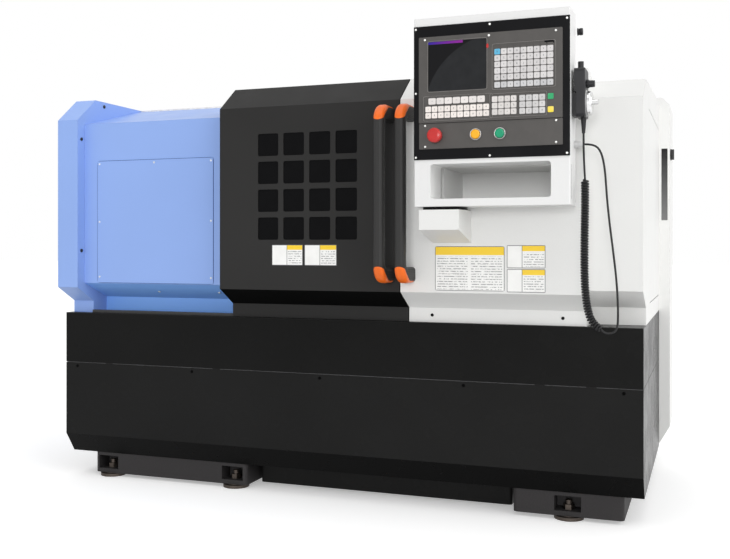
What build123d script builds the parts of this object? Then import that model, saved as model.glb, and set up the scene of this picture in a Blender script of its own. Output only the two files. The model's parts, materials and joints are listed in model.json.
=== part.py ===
from build123d import *

import os
from math import cos, hypot, radians, sin, tan

# Flat-bed turning lathe in a sheet-metal enclosure, in millimetres.
# X runs along the spindle from the headstock to the tailstock, Y runs from the
# operator to the back, Z is up from the floor. The origin lies on the floor
# under the middle of the whole machine.

# Overall sizes
base_length = 2000.0
base_depth = 860.0
base_height = 589.0
roof_height = 1345.0
cabinet_overhang = 38.0
cabinet_depth = 270.0
console_reach = 229.0
estop_reach = 34.0
switch_reach = 14.0
cabinet_door_thick = 22.0

# Sheet metal
sheet = 3.0
face_gap = 0.3
seam_gap = 2.0
run_fit = 0.05

overall_length = base_length + cabinet_overhang + switch_reach
overall_depth = estop_reach + console_reach + base_depth + cabinet_depth + cabinet_door_thick
base_left = -overall_length / 2
base_right = base_left + base_length
apron_front = -overall_depth / 2 + estop_reach + console_reach
base_back = apron_front + base_depth

# Aprons of the base
apron_bottom = 92.0
bottom_bevel_height = 65.0
bottom_bevel_depth = 27.0
apron_seam = 410.0
apron_return = 40.0

# Pedestals and levelling feet
pad_height = 12.0
pad_radius = 45.0
pedestal_setback = 50.0
left_pedestal_inset = 90.0
left_pedestal_length = 608.0
right_pedestal_inset = 58.0
right_pedestal_length = 332.0
pocket_width = 80.0
pocket_height = 46.0
pocket_floor = 15.0
pocket_depth = 62.0
pedestal_wall = 25.0
bracket_width = 30.0
bracket_height = 80.0
level_screw_radius = 10.0

# Chip tray and coolant tank
tray_depth = 26.0
tray_rim = 130.0
tray_back_rim = 90.0
tank_height = 150.0
tank_clear = 10.0
tank_setback = 125.0
tank_side_gap = 18.0
tank_lid_lap = 8.0
tank_lid_thick = 4.0

# Bed and spindle line
bed_inset = 110.0
bed_length = 1690.0
bed_setback = 290.0
bed_width = 280.0
bed_height = 282.0
shear_width = 80.0
bed_rib = 30.0
bed_bays = 8
bed_waist = 26.0
way_vee_width = 36.0
way_vee_height = 16.0
centre_height = 190.0
spindle_bore_radius = 26.0

# Headstock and chuck
headstock_inset = 130.0
headstock_length = 490.0
headstock_depth = 330.0
headstock_top = 140.0
chuck_radius = 100.0
chuck_length = 72.0
jaw_width = 24.0
jaw_rest_radius = 34.0
jaw_clearance = 0.3
spindle_pulley_radius = 85.0
motor_pulley_radius = 62.0
pulley_width = 46.0
pulley_inset = 42.0
belt_thick = 6.0
motor_radius = 98.0
motor_length = 300.0
motor_setback = 715.0
motor_axis_height = 740.0
motor_fins = 12

# Carriage
saddle_length = 270.0
saddle_rest = 1090.0
saddle_height = 58.0
dovetail_width = 130.0
dovetail_height = 24.0
cross_slide_length = 320.0
cross_slide_width = 180.0
cross_slide_height = 50.0
turret_side = 150.0
turret_height = 96.0
turret_boss_height = 30.0
turret_setback = 300.0
turret_pin_radius = 20.0
lead_screw_radius = 16.0
lead_screw_drop = 62.0
lead_screw_setback = 262.0
servo_side = 110.0
servo_length = 150.0

# Tailstock
tailstock_inset = 1570.0
tailstock_length = 210.0
tailstock_barrel_radius = 58.0
quill_radius = 30.0
quill_reach = 22.0
handwheel_radius = 80.0

# Enclosure profile, as distances behind the apron front and heights
door_setback = -79.0
door_sill_setback = 12.0
door_bevel_setback = 29.0
sill_top = 634.0
door_face_bottom = 686.0
door_face_top = 1276.0
door_top = 1356.0
fixed_setback = -20.0
fixed_sill_setback = 110.0
fixed_face_bottom = 696.0
fixed_face_top = 1258.0
blue_slope_setback = 315.0
end_cover_inset = 11.0
end_cover_length = 83.0
end_setback = -61.0
end_sill_setback = 31.0
end_top = 1353.0
end_flange_width = 95.0
door_inset = 666.0
door_length = 620.0
hood_length = 549.0
meeting_gap = 3.0
blue_overlap = 22.0
right_slope_setback = 126.0
right_slope_top = 1330.0
roof_front = 62.0
hood_lap = 40.0
hood_wall_setback = 130.0
flange_width = 35.0
sill_lift = 0.6

# Sliding door
rail_height = 8.0
rail_width = 12.0
rail_setback = 330.0
low_rail_setback = 20.0
low_rail_height = 10.0
window_hole = 72.0
window_pitch = 90.0
window_count = 4
window_rise = 37.0
window_corner = 6.0
pane_thick = 5.0
pane_edge = 16.0

# Door handles
handle_thick = 32.0
handle_arm = 46.0
handle_reach = 116.0
handle_height = 534.0
handle_middle = 984.0
handle_bend = 58.0
handle_inner_bend = 16.0
handle_edge = 11.0
cover_width = 22.0
cover_wall = 2.5
cover_gap = 0.15
cover_setback = 6.0
cover_drop = 47.0
door_handle_inset = 31.0
hood_handle_inset = 32.0

# Access panel on the headstock cover
panel_inset = 149.0
panel_length = 460.0
panel_top = 1125.0
panel_thick = 1.5
screw_radius = 5.0
screw_head = 2.5

# Console
console_inset = 1378.0
console_length = 444.0
console_depth = 115.0
console_bottom = 940.0
console_top = 1480.0
plate_thick = 3.0
plate_bottom = 1074.0
plate_top = 1457.0
pocket_left = 48.0
pocket_length = 344.0
pocket_bottom = 962.0
pocket_top = 1061.0
pocket_corner = 9.0
niche_depth = 233.0
hump_depth = 62.0
hump_bottom = 1366.0
hump_top = 1497.0
hump_side = 18.0
bracket_inset = 1393.0
bracket_length = 118.0
bracket_front_height = 58.0
bracket_back_drop = 95.0
pivot_disc_radius = 65.0
pivot_disc_height = 9.0
pivot_pin_radius = 20.0
pivot_inset = 1452.0
pivot_setback = -158.0

# Control unit and operator panel
unit_inset = 17.0
unit_length = 408.0
unit_bottom = 1178.0
unit_height = 246.0
unit_thick = 7.0
panel_strip_height = 74.0
panel_strip_thick = 4.0
screen_inset = 28.0
screen_length = 169.0
screen_rise = 90.0
screen_height = 141.0
screen_depth = 1.5
key_rise = 1.0
key_gap = 2.2
button_height = 1141.0
estop_inset = 68.0
start_inset = 183.0
stop_inset = 252.0
button_neck_radius = 11.0
button_neck_length = 26.0
button_head_radius = 13.0
button_ring_radius = 16.5
button_ring_rise = 5.0
button_travel = 3.0
estop_radius = 20.5
estop_travel = 5.0

# Hand pendant and its curly cord
pendant_gap = 7.0
pendant_thick = 30.0
pendant_step = 6.0
pendant_width = 80.0
pendant_bottom = 1182.0
pendant_height = 135.0
pendant_setback = -165.0
pendant_wheel_radius = 34.0
pendant_wheel_rise = 40.0
pendant_knob_radius = 10.0
pendant_knob_rise = 94.0
pendant_stub_radius = 6.0
boot_length = 42.0
boot_radius = 8.0
boot_inset = boot_radius + 0.5
cord_radius = 3.0
coil_radius = 12.0
gland_radius = 11.0
gland_length = 24.0
gland_height = 1112.0
gland_setback = -140.0

# Electrical cabinet at the back
cabinet_length = 760.0
cabinet_bottom = 93.0
cabinet_top = 1380.0
cabinet_low_bevel = 36.0
cabinet_high_bevel = 28.0
cabinet_wall = 4.0
cabinet_frame = 24.0
hinge_radius = 7.0
hinge_pin_radius = 3.5
switch_height = 1170.0
switch_inset = 40.0
switch_radius = 21.0

os.makedirs("parts", exist_ok=True)


def block(low, high, mode=Mode.ADD):
    """A box between two opposite corners."""
    middle = tuple((a + b) / 2 for a, b in zip(low, high))
    with Locations(middle):
        Box(*(b - a for a, b in zip(low, high)), mode=mode)


def bar(start, direction, radius, length, mode=Mode.ADD):
    """A round bar from a start point along a direction."""
    with BuildSketch(Plane(origin=start, z_dir=direction)) as disc:
        Circle(radius)
    extrude(disc.sketch, amount=length, mode=mode)


def turned(points, y, z, mode=Mode.ADD):
    """A turned form about a line along X, from its half section of length and radius."""
    with BuildSketch(Plane(origin=(0, y, z), x_dir=(1, 0, 0), z_dir=(0, -1, 0))) as section:
        with BuildLine():
            Polyline(*points, close=True)
        make_face()
    revolve(section.sketch, axis=Axis((0, y, z), (1, 0, 0)), mode=mode)


def inner_line(points, width):
    """The points of an open profile moved inwards by a width, mitred at each fold."""
    normals = []
    for (y0, z0), (y1, z1) in zip(points, points[1:]):
        run = hypot(y1 - y0, z1 - z0)
        normals.append(((z1 - z0) / run, -(y1 - y0) / run))
    moved = []
    for here, before, after in zip(points, normals[:1] + normals, normals + normals[-1:]):
        share = width / (1 + before[0] * after[0] + before[1] * after[1])
        moved.append(
            (here[0] + share * (before[0] + after[0]), here[1] + share * (before[1] + after[1]))
        )
    return moved


def folded(points, start, length, width=sheet, mode=Mode.ADD):
    """A sheet folded along a profile of depth and height, running along X."""
    filled(points + inner_line(points, width)[::-1], start, length, mode=mode)


def filled(points, start, length, mode=Mode.ADD):
    """A plate with a closed outline of depth and height, running along X."""
    with BuildSketch(Plane.YZ.offset(start)) as outline:
        with BuildLine():
            Polyline(*points, close=True)
        make_face()
    extrude(outline.sketch, amount=length, mode=mode)


def bend_radii(points):
    """The arc at each corner of a route: 0.45 of the shorter run over the tangent of half the turn."""
    radii = []
    for before, here, after in zip(points, points[1:], points[2:]):
        first = Vector(*here) - Vector(*before)
        second = Vector(*after) - Vector(*here)
        half_turn = radians(first.get_angle(second)) / 2
        radii.append(0.45 * min(first.length, second.length) / tan(half_turn))
    return radii


# Pedestals: two cast legs with pockets for the levelling screws
pedestal_front = apron_front + pedestal_setback
pedestal_back = base_back - pedestal_setback
pedestal_top = base_height - tray_depth - sheet
left_pedestal_start = base_left + left_pedestal_inset
left_pedestal_end = left_pedestal_start + left_pedestal_length
right_pedestal_end = base_right - right_pedestal_inset
right_pedestal_start = right_pedestal_end - right_pedestal_length
pocket_edge = 15.0
left_pocket_centres = (
    left_pedestal_start + pocket_edge + pocket_width / 2,
    left_pedestal_end - pocket_edge - pocket_width / 2,
)
right_pocket_centres = ((right_pedestal_start + right_pedestal_end) / 2,)
pocket_low = pad_height + pocket_floor
foot_rows = (pedestal_front + pocket_depth / 2, pedestal_back - pocket_depth / 2)


def pedestal(start, end, pocket_centres):
    """A hollow cast leg with a waist, apron brackets and a pocket at each levelling screw."""
    block((start, pedestal_front, pad_height), (end, pedestal_back, pedestal_top))
    fillet(edges().filter_by(Axis.Z), 14)
    waist_low = pocket_low + pocket_height + 30
    wall = pedestal_wall
    block(
        (start + wall, pedestal_front + pocket_depth + wall, pad_height),
        (end - wall, pedestal_back - pocket_depth - wall, pedestal_top - wall),
        mode=Mode.SUBTRACT,
    )
    block(
        (start + wall, pedestal_front + wall, waist_low + 12),
        (end - wall, pedestal_back - wall, pedestal_top - wall),
        mode=Mode.SUBTRACT,
    )
    for side in (pedestal_front, pedestal_back):
        block(
            (start + 40, side - 10, waist_low),
            (end - 40, side + 10, pedestal_top - 40),
            mode=Mode.SUBTRACT,
        )
    for middle in (start + 90, end - 90):
        block(
            (middle - bracket_width / 2, apron_front + sheet, apron_seam - bracket_height / 2),
            (middle + bracket_width / 2, pedestal_front + 12, apron_seam + bracket_height / 2),
        )
    for centre in pocket_centres:
        for row, side in zip(foot_rows, (pedestal_front, pedestal_back)):
            low_y, high_y = sorted((side, 2 * row - side))
            block(
                (centre - pocket_width / 2, low_y, pocket_low),
                (centre + pocket_width / 2, high_y, pocket_low + pocket_height),
                mode=Mode.SUBTRACT,
            )
            bar(
                (centre, row, pad_height),
                (0, 0, 1),
                level_screw_radius + 1,
                pocket_floor,
                mode=Mode.SUBTRACT,
            )


with BuildPart() as left_pedestal:
    pedestal(left_pedestal_start, left_pedestal_end, left_pocket_centres)
left_pedestal.part.label = "left_pedestal"
export_step(left_pedestal.part, "parts/left_pedestal.step")

with BuildPart() as right_pedestal:
    pedestal(right_pedestal_start, right_pedestal_end, right_pocket_centres)
right_pedestal.part.label = "right_pedestal"
export_step(right_pedestal.part, "parts/right_pedestal.step")

# Levelling feet: a round pad and a screw with its nut at every pocket
with BuildPart() as levelling_feet:
    for centre in left_pocket_centres + right_pocket_centres:
        for row in foot_rows:
            bar((centre, row, 0), (0, 0, 1), pad_radius, pad_height - 2)
            bar((centre, row, pad_height - 2), (0, 0, 1), pad_radius - 14, 2)
            bar((centre, row, pad_height), (0, 0, 1), level_screw_radius, 44)
            with BuildSketch(Plane.XY.offset(pocket_low)) as nut:
                with Locations((centre, row)):
                    RegularPolygon(17, 6)
            extrude(nut.sketch, amount=16)
levelling_feet.part.label = "levelling_feet"
export_step(levelling_feet.part, "parts/levelling_feet.step")

# Coolant tank between the pedestals, a folded tank with a flanged lid
tank_start = left_pedestal_end + tank_side_gap
tank_end = right_pedestal_start - tank_side_gap
tank_front = apron_front + tank_setback
tank_back = base_back - 100
with BuildPart() as coolant_tank:
    block((tank_start, tank_front, tank_clear), (tank_end, tank_back, tank_clear + tank_height))
    fillet(edges().filter_by(Axis.Z), 10)
    lid_low = tank_clear + tank_height
    block(
        (left_pedestal_end + face_gap, tank_front - tank_lid_lap, lid_low),
        (right_pedestal_start - face_gap, tank_back + tank_lid_lap, lid_low + tank_lid_thick),
    )
    for end in (tank_start + 80, tank_end - 80):
        for side in (tank_front + 60, tank_back - 60):
            bar((end, side, 0), (0, 0, 1), 22, tank_clear)
coolant_tank.part.label = "coolant_tank"
export_step(coolant_tank.part, "parts/coolant_tank.step")

# Lower apron: front and both ends in one folded sheet with a bevelled foot
centre_x = (base_left + base_right) / 2
centre_y = (apron_front + base_back) / 2
bevel_top = apron_bottom + bottom_bevel_height
with BuildPart() as lower_apron:
    with BuildSketch(Plane.XY.offset(bevel_top)):
        with Locations((centre_x, centre_y)):
            Rectangle(base_length, base_depth)
    extrude(amount=apron_seam - bevel_top)
    with BuildSketch(Plane.XY.offset(apron_bottom)):
        with Locations((centre_x, centre_y)):
            Rectangle(base_length - 2 * bottom_bevel_depth, base_depth - 2 * bottom_bevel_depth)
    with BuildSketch(Plane.XY.offset(bevel_top)):
        with Locations((centre_x, centre_y)):
            Rectangle(base_length, base_depth)
    loft()
    with BuildSketch(Plane.XY.offset(bevel_top)):
        with Locations((centre_x, centre_y)):
            Rectangle(base_length - 2 * sheet, base_depth - 2 * sheet)
    extrude(amount=apron_seam - bevel_top, mode=Mode.SUBTRACT)
    with BuildSketch(Plane.XY.offset(apron_bottom)):
        with Locations((centre_x, centre_y)):
            Rectangle(
                base_length - 2 * (bottom_bevel_depth + sheet),
                base_depth - 2 * (bottom_bevel_depth + sheet),
            )
    with BuildSketch(Plane.XY.offset(bevel_top)):
        with Locations((centre_x, centre_y)):
            Rectangle(base_length - 2 * sheet, base_depth - 2 * sheet)
    loft(mode=Mode.SUBTRACT)
    block(
        (base_left + apron_return, base_back - 60, apron_bottom - 1),
        (base_right - apron_return, base_back + 1, apron_seam + 1),
        mode=Mode.SUBTRACT,
    )
lower_apron.part.label = "lower_apron"
export_step(lower_apron.part, "parts/lower_apron.step")

# Upper apron: the same three sides above the seam
with BuildPart() as upper_apron:
    with BuildSketch(Plane.XY.offset(apron_seam + seam_gap)):
        with Locations((centre_x, centre_y)):
            Rectangle(base_length, base_depth)
            Rectangle(base_length - 2 * sheet, base_depth - 2 * sheet, mode=Mode.SUBTRACT)
    extrude(amount=base_height - sheet - apron_seam - seam_gap)
    block(
        (base_left + apron_return, base_back - 60, apron_seam),
        (base_right - apron_return, base_back + 1, base_height),
        mode=Mode.SUBTRACT,
    )
upper_apron.part.label = "upper_apron"
export_step(upper_apron.part, "parts/upper_apron.step")

# Chip tray: a plate over the whole base with a pressed pan in it
pan_start = base_left + tray_rim / 2
pan_end = base_right - tray_rim / 2
pan_front = apron_front + tray_rim
pan_back = base_back - tray_back_rim
pan_low = base_height - tray_depth
with BuildPart() as chip_tray:
    block((base_left, apron_front, base_height - sheet), (base_right, base_back, base_height))
    block(
        (pan_start - sheet, pan_front - sheet, pan_low - sheet),
        (pan_end + sheet, pan_back + sheet, base_height - sheet),
    )
    block((pan_start, pan_front, pan_low), (pan_end, pan_back, base_height), mode=Mode.SUBTRACT)
chip_tray.part.label = "chip_tray"
export_step(chip_tray.part, "parts/chip_tray.step")

# Bed: two shears with cross ribs, a vee way at the front and a flat way behind
bed_start = base_left + bed_inset
bed_end = bed_start + bed_length
bed_front = apron_front + bed_setback
bed_back = bed_front + bed_width
bed_top = pan_low + bed_height
way_start = base_left + headstock_inset + headstock_length + 20
screw_y = apron_front + lead_screw_setback
screw_z = bed_top - lead_screw_drop
lug_length = 40.0
bed_section = [
    (bed_front, pan_low),
    (bed_front, pan_low + 60),
    (bed_front + bed_waist, pan_low + 60 + bed_waist),
    (bed_front + bed_waist, bed_top - 60 - bed_waist),
    (bed_front, bed_top - 60),
    (bed_front, bed_top),
    (bed_back, bed_top),
    (bed_back, bed_top - 60),
    (bed_back - bed_waist, bed_top - 60 - bed_waist),
    (bed_back - bed_waist, pan_low + 60 + bed_waist),
    (bed_back, pan_low + 60),
    (bed_back, pan_low),
]
vee_middle = bed_front + shear_width / 2
rib_pitch = (bed_length - bed_rib) / bed_bays
with BuildPart() as bed:
    filled(bed_section, bed_start, bed_length)
    for number in range(bed_bays):
        block(
            (bed_start + bed_rib + number * rib_pitch, bed_front + shear_width, pan_low),
            (bed_start + (number + 1) * rib_pitch, bed_back - shear_width, bed_top),
            mode=Mode.SUBTRACT,
        )
    vee = [
        (vee_middle - way_vee_width / 2, bed_top),
        (vee_middle - 3, bed_top + way_vee_height),
        (vee_middle + 3, bed_top + way_vee_height),
        (vee_middle + way_vee_width / 2, bed_top),
    ]
    filled(vee, way_start, bed_end - way_start)
    for lug_start in (way_start, bed_end - lug_length):
        block(
            (lug_start, screw_y - 30, screw_z - 34),
            (lug_start + lug_length, bed_front + bed_waist + 1, screw_z + 34),
        )
        bar(
            (lug_start, screw_y, screw_z),
            (1, 0, 0),
            lead_screw_radius + run_fit,
            lug_length,
            mode=Mode.SUBTRACT,
        )
bed.part.label = "bed"
export_step(bed.part, "parts/bed.step")

# Headstock casting with its bearing bosses
spindle_y = (bed_front + bed_back) / 2
spindle_z = bed_top + centre_height
headstock_start = base_left + headstock_inset
headstock_end = headstock_start + headstock_length
headstock_front = spindle_y - headstock_depth / 2
journal_radius = 48.0
boss_radius = 88.0
with BuildPart() as headstock:
    with BuildSketch(Plane.YZ.offset(headstock_start)):
        with BuildLine():
            Polyline(
                (headstock_front + 40, bed_top),
                (headstock_front, bed_top + 50),
                (headstock_front, spindle_z + headstock_top - 40),
                (headstock_front + 40, spindle_z + headstock_top),
                (headstock_front + headstock_depth - 40, spindle_z + headstock_top),
                (headstock_front + headstock_depth, spindle_z + headstock_top - 40),
                (headstock_front + headstock_depth, bed_top + 50),
                (headstock_front + headstock_depth - 40, bed_top),
                close=True,
            )
        make_face()
    extrude(amount=headstock_length)
    fillet(edges().filter_by(Axis.X), 12)
    bar((headstock_end, spindle_y, spindle_z), (1, 0, 0), boss_radius, 14)
    bar((headstock_start, spindle_y, spindle_z), (-1, 0, 0), boss_radius - 10, 14)
    with Locations(Plane(origin=(headstock_end + 14, spindle_y, spindle_z), z_dir=(1, 0, 0))):
        with PolarLocations(boss_radius - 14, 8):
            Hole(4, depth=10)
    bar(
        (headstock_start - 20, spindle_y, spindle_z),
        (1, 0, 0),
        journal_radius + run_fit,
        headstock_length + 40,
        mode=Mode.SUBTRACT,
    )
headstock.part.label = "headstock"
export_step(headstock.part, "parts/headstock.step")

# Spindle, turned, with a flanged nose and a through bore
pulley_start = base_left + pulley_inset
nose_start = headstock_end + 18
chuck_start = nose_start + 26
with BuildPart() as spindle:
    turned(
        [
            (pulley_start - 14, spindle_bore_radius),
            (pulley_start - 14, 36),
            (pulley_start + pulley_width, 36),
            (pulley_start + pulley_width, journal_radius - 6),
            (headstock_start - 16, journal_radius - 6),
            (headstock_start - 16, journal_radius),
            (headstock_end + 16, journal_radius),
            (nose_start, journal_radius + 8),
            (nose_start, 66),
            (chuck_start, 66),
            (chuck_start, 40),
            (chuck_start + 12, 38),
            (chuck_start + 12, spindle_bore_radius),
        ],
        spindle_y,
        spindle_z,
    )
spindle.part.label = "spindle"
export_step(spindle.part, "parts/spindle.step")

# Three-jaw chuck: body with radial slots, and its jaws
chuck_front = chuck_start + chuck_length
slot_depth = 34.0
chuck_angles = (90, 210, 330)


def jaw_plane(angle):
    """A plane through the spindle line: X local outwards, Y local back along the spindle."""
    turn = radians(angle)
    return Plane(
        origin=(chuck_front, spindle_y, spindle_z),
        x_dir=(0, cos(turn), sin(turn)),
        z_dir=(0, -sin(turn), cos(turn)),
    )


with BuildPart() as chuck_body:
    turned(
        [
            (chuck_start, 40 + face_gap),
            (chuck_start, chuck_radius - 2),
            (chuck_start + 2, chuck_radius),
            (chuck_front - 3, chuck_radius),
            (chuck_front, chuck_radius - 3),
            (chuck_front, 28),
            (chuck_start + 13, 28),
            (chuck_start + 13, 40 + face_gap),
        ],
        spindle_y,
        spindle_z,
    )
    for angle in chuck_angles:
        with BuildSketch(jaw_plane(angle)) as slot:
            with Locations((chuck_radius / 2 + 12, slot_depth / 2)):
                Rectangle(chuck_radius + 10, slot_depth)
        extrude(slot.sketch, amount=jaw_width / 2, both=True, mode=Mode.SUBTRACT)
    for angle in (30, 150, 270):
        across = radians(angle)
        bar(
            (
                (chuck_start + chuck_front) / 2,
                spindle_y + chuck_radius * cos(across),
                spindle_z + chuck_radius * sin(across),
            ),
            (0, -cos(across), -sin(across)),
            7,
            12,
            mode=Mode.SUBTRACT,
        )
chuck_body.part.label = "chuck_body"
export_step(chuck_body.part, "parts/chuck_body.step")

jaw_step = 14.0
for number, angle in enumerate(chuck_angles, start=1):
    with BuildPart() as chuck_jaw:
        with BuildSketch(jaw_plane(angle)) as jaw_face:
            with BuildLine():
                Polyline(
                    (jaw_rest_radius, slot_depth - jaw_clearance),
                    (jaw_rest_radius, -3 * jaw_step),
                    (jaw_rest_radius + 14, -3 * jaw_step),
                    (jaw_rest_radius + 14, -2 * jaw_step),
                    (jaw_rest_radius + 30, -2 * jaw_step),
                    (jaw_rest_radius + 30, -jaw_step),
                    (jaw_rest_radius + 46, -jaw_step),
                    (jaw_rest_radius + 46, slot_depth - jaw_clearance),
                    close=True,
                )
            make_face()
        extrude(jaw_face.sketch, amount=jaw_width / 2 - jaw_clearance, both=True)
    chuck_jaw.part.label = f"chuck_jaw_{number}"
    export_step(chuck_jaw.part, f"parts/chuck_jaw_{number}.step")


# Belt drive: grooved pulleys on the spindle and on the motor, and the belt
def pulley_section(start, radius, bore):
    """Half section of a pulley with four vee grooves between two flanges."""
    points = [(start, bore), (start, radius)]
    groove = (pulley_width - 6) / 4
    for number in range(4):
        left = start + 3 + number * groove
        points.append((left, radius))
        points.append((left + groove / 2, radius - 5))
    points += [(start + pulley_width - 3, radius), (start + pulley_width, radius)]
    points.append((start + pulley_width, bore))
    return points


with BuildPart() as spindle_pulley:
    turned(pulley_section(pulley_start, spindle_pulley_radius, 36), spindle_y, spindle_z)
spindle_pulley.part.label = "spindle_pulley"
export_step(spindle_pulley.part, "parts/spindle_pulley.step")

motor_y = apron_front + motor_setback
motor_z = motor_axis_height
motor_start = base_left + headstock_inset
shaft_radius = 19.0
with BuildPart() as motor_pulley:
    turned(pulley_section(pulley_start, motor_pulley_radius, 0), motor_y, motor_z)
    bar(
        (pulley_start + pulley_width, motor_y, motor_z),
        (1, 0, 0),
        shaft_radius,
        motor_start + 30 - pulley_start - pulley_width,
    )
motor_pulley.part.label = "motor_pulley"
export_step(motor_pulley.part, "parts/motor_pulley.step")

with BuildPart() as drive_belt:
    with BuildSketch(Plane.YZ.offset(pulley_start + 4)):
        with Locations((spindle_y, spindle_z)):
            Circle(spindle_pulley_radius + face_gap + belt_thick)
        with Locations((motor_y, motor_z)):
            Circle(motor_pulley_radius + face_gap + belt_thick)
        make_hull()
    extrude(amount=pulley_width - 8)
    with BuildSketch(Plane.YZ.offset(pulley_start + 4)):
        with Locations((spindle_y, spindle_z)):
            Circle(spindle_pulley_radius + face_gap)
        with Locations((motor_y, motor_z)):
            Circle(motor_pulley_radius + face_gap)
        make_hull()
    extrude(amount=pulley_width - 8, mode=Mode.SUBTRACT)
drive_belt.part.label = "drive_belt"
export_step(drive_belt.part, "parts/drive_belt.step")

# Main motor: finned body, end shields, terminal box and foot
with BuildPart() as main_motor:
    turned(
        [
            (motor_start, 0),
            (motor_start, motor_radius - 14),
            (motor_start + 12, motor_radius - 4),
            (motor_start + motor_length - 40, motor_radius - 4),
            (motor_start + motor_length - 40, motor_radius),
            (motor_start + motor_length - 6, motor_radius),
            (motor_start + motor_length, motor_radius - 8),
            (motor_start + motor_length, 0),
        ],
        motor_y,
        motor_z,
    )
    with BuildSketch(Plane.YZ.offset(motor_start + 24)) as fins:
        with Locations((motor_y, motor_z)):
            with PolarLocations(motor_radius - 5, motor_fins):
                Rectangle(12, 4)
    extrude(fins.sketch, amount=motor_length - 80)
    block(
        (motor_start + 60, motor_y - 45, motor_z + motor_radius - 12),
        (motor_start + 190, motor_y + 45, motor_z + motor_radius + 34),
    )
    for foot in (motor_start + 40, motor_start + 200):
        block(
            (foot, motor_y - 75, pan_low),
            (foot + 44, motor_y + 54, motor_z - motor_radius + 14),
        )
    bar(
        (motor_start, motor_y, motor_z),
        (1, 0, 0),
        shaft_radius + run_fit,
        30 + face_gap,
        mode=Mode.SUBTRACT,
    )
main_motor.part.label = "main_motor"
export_step(main_motor.part, "parts/main_motor.step")

# Saddle: bridge over the ways with an apron that carries the ball nut
saddle_start = base_left + saddle_rest - saddle_length / 2
saddle_end = saddle_start + saddle_length
saddle_front = bed_front - 50
saddle_back = bed_back + 34
saddle_low = bed_top + face_gap
saddle_top = saddle_low + saddle_height
saddle_x = (saddle_start + saddle_end) / 2


def dovetail(widen):
    """A dovetail across the saddle, along Y, each side moved out by widen."""
    lean = 14.0
    half = dovetail_width / 2
    with BuildSketch(Plane.XZ.offset(-saddle_front)) as tail:
        with BuildLine():
            Polyline(
                (saddle_x - half + lean - widen, saddle_top - 1),
                (saddle_x - half - widen, saddle_top + dovetail_height + widen),
                (saddle_x + half + widen, saddle_top + dovetail_height + widen),
                (saddle_x + half - lean + widen, saddle_top - 1),
                close=True,
            )
        make_face()
    return tail.sketch


with BuildPart() as saddle:
    block((saddle_start, saddle_front, saddle_low), (saddle_end, saddle_back, saddle_top))
    fillet(edges().filter_by(Axis.Z), 10)
    with BuildSketch(Plane.YZ.offset(saddle_start)) as vee_groove:
        with BuildLine():
            Polyline(
                (vee_middle - way_vee_width / 2 - 1, saddle_low),
                (vee_middle - 4, bed_top + way_vee_height + 1),
                (vee_middle + 4, bed_top + way_vee_height + 1),
                (vee_middle + way_vee_width / 2 + 1, saddle_low),
                close=True,
            )
        make_face()
    extrude(vee_groove.sketch, amount=saddle_length, mode=Mode.SUBTRACT)
    block(
        (saddle_x - 75, screw_y - 32, screw_z - 36),
        (saddle_x + 75, bed_front - 3, saddle_low),
    )
    block(
        (saddle_start + 10, bed_back + 4, bed_top - 40),
        (saddle_end - 10, saddle_back, saddle_low),
    )
    bar(
        (saddle_x - 75, screw_y, screw_z),
        (1, 0, 0),
        lead_screw_radius + run_fit,
        150,
        mode=Mode.SUBTRACT,
    )
    extrude(dovetail(0), amount=-(saddle_back - saddle_front))
saddle.part.label = "saddle"
export_step(saddle.part, "parts/saddle.step")

# Cross slide with the round seat of the tool turret
slide_front = apron_front + turret_setback - 105
slide_low = saddle_top + face_gap
slide_top = slide_low + cross_slide_height
turret_y = apron_front + turret_setback
turret_low = slide_top + turret_boss_height
with BuildPart() as cross_slide:
    block(
        (saddle_x - cross_slide_width / 2, slide_front, slide_low),
        (saddle_x + cross_slide_width / 2, slide_front + cross_slide_length, slide_top),
    )
    fillet(edges().filter_by(Axis.Z), 8)
    extrude(dovetail(face_gap), amount=-600, mode=Mode.SUBTRACT)
    extrude(dovetail(face_gap), amount=200, mode=Mode.SUBTRACT)
    bar((saddle_x, turret_y, slide_top), (0, 0, 1), turret_side / 2 - 8, turret_boss_height)
    bar((saddle_x, turret_y, turret_low), (0, 0, 1), turret_pin_radius, turret_height - 20)
cross_slide.part.label = "cross_slide"
export_step(cross_slide.part, "parts/cross_slide.step")

# Four-way tool turret with its tool slots and clamping screw holes
head_low = turret_low + face_gap
with BuildPart() as turret_head:
    block(
        (saddle_x - turret_side / 2, turret_y - turret_side / 2, head_low),
        (saddle_x + turret_side / 2, turret_y + turret_side / 2, head_low + turret_height),
    )
    chamfer(edges().filter_by(Axis.Z), 10)
    for side in (-1, 1):
        block(
            (saddle_x - turret_side, turret_y + side * (turret_side / 2 - 10) - 20, head_low + 28),
            (saddle_x + turret_side, turret_y + side * (turret_side / 2 - 10) + 20, head_low + 56),
            mode=Mode.SUBTRACT,
        )
        block(
            (saddle_x + side * (turret_side / 2 - 10) - 20, turret_y - turret_side, head_low + 28),
            (saddle_x + side * (turret_side / 2 - 10) + 20, turret_y + turret_side, head_low + 56),
            mode=Mode.SUBTRACT,
        )
    with Locations((saddle_x, turret_y, head_low + turret_height)):
        Cylinder(32, 10, align=(Align.CENTER, Align.CENTER, Align.MIN))
    bar(
        (saddle_x, turret_y, head_low - 1),
        (0, 0, 1),
        turret_pin_radius + run_fit,
        turret_height - 20 + 1 + face_gap,
        mode=Mode.SUBTRACT,
    )
turret_head.part.label = "turret_head"
export_step(turret_head.part, "parts/turret_head.step")

# Longitudinal ball screw and its servo motor
with BuildPart() as z_screw:
    turned(
        [
            (way_start + 6, 0),
            (way_start + 6, lead_screw_radius),
            (bed_end - 2, lead_screw_radius),
            (bed_end - 2, 0),
        ],
        screw_y,
        screw_z,
    )
z_screw.part.label = "z_screw"
export_step(z_screw.part, "parts/z_screw.step")

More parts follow.
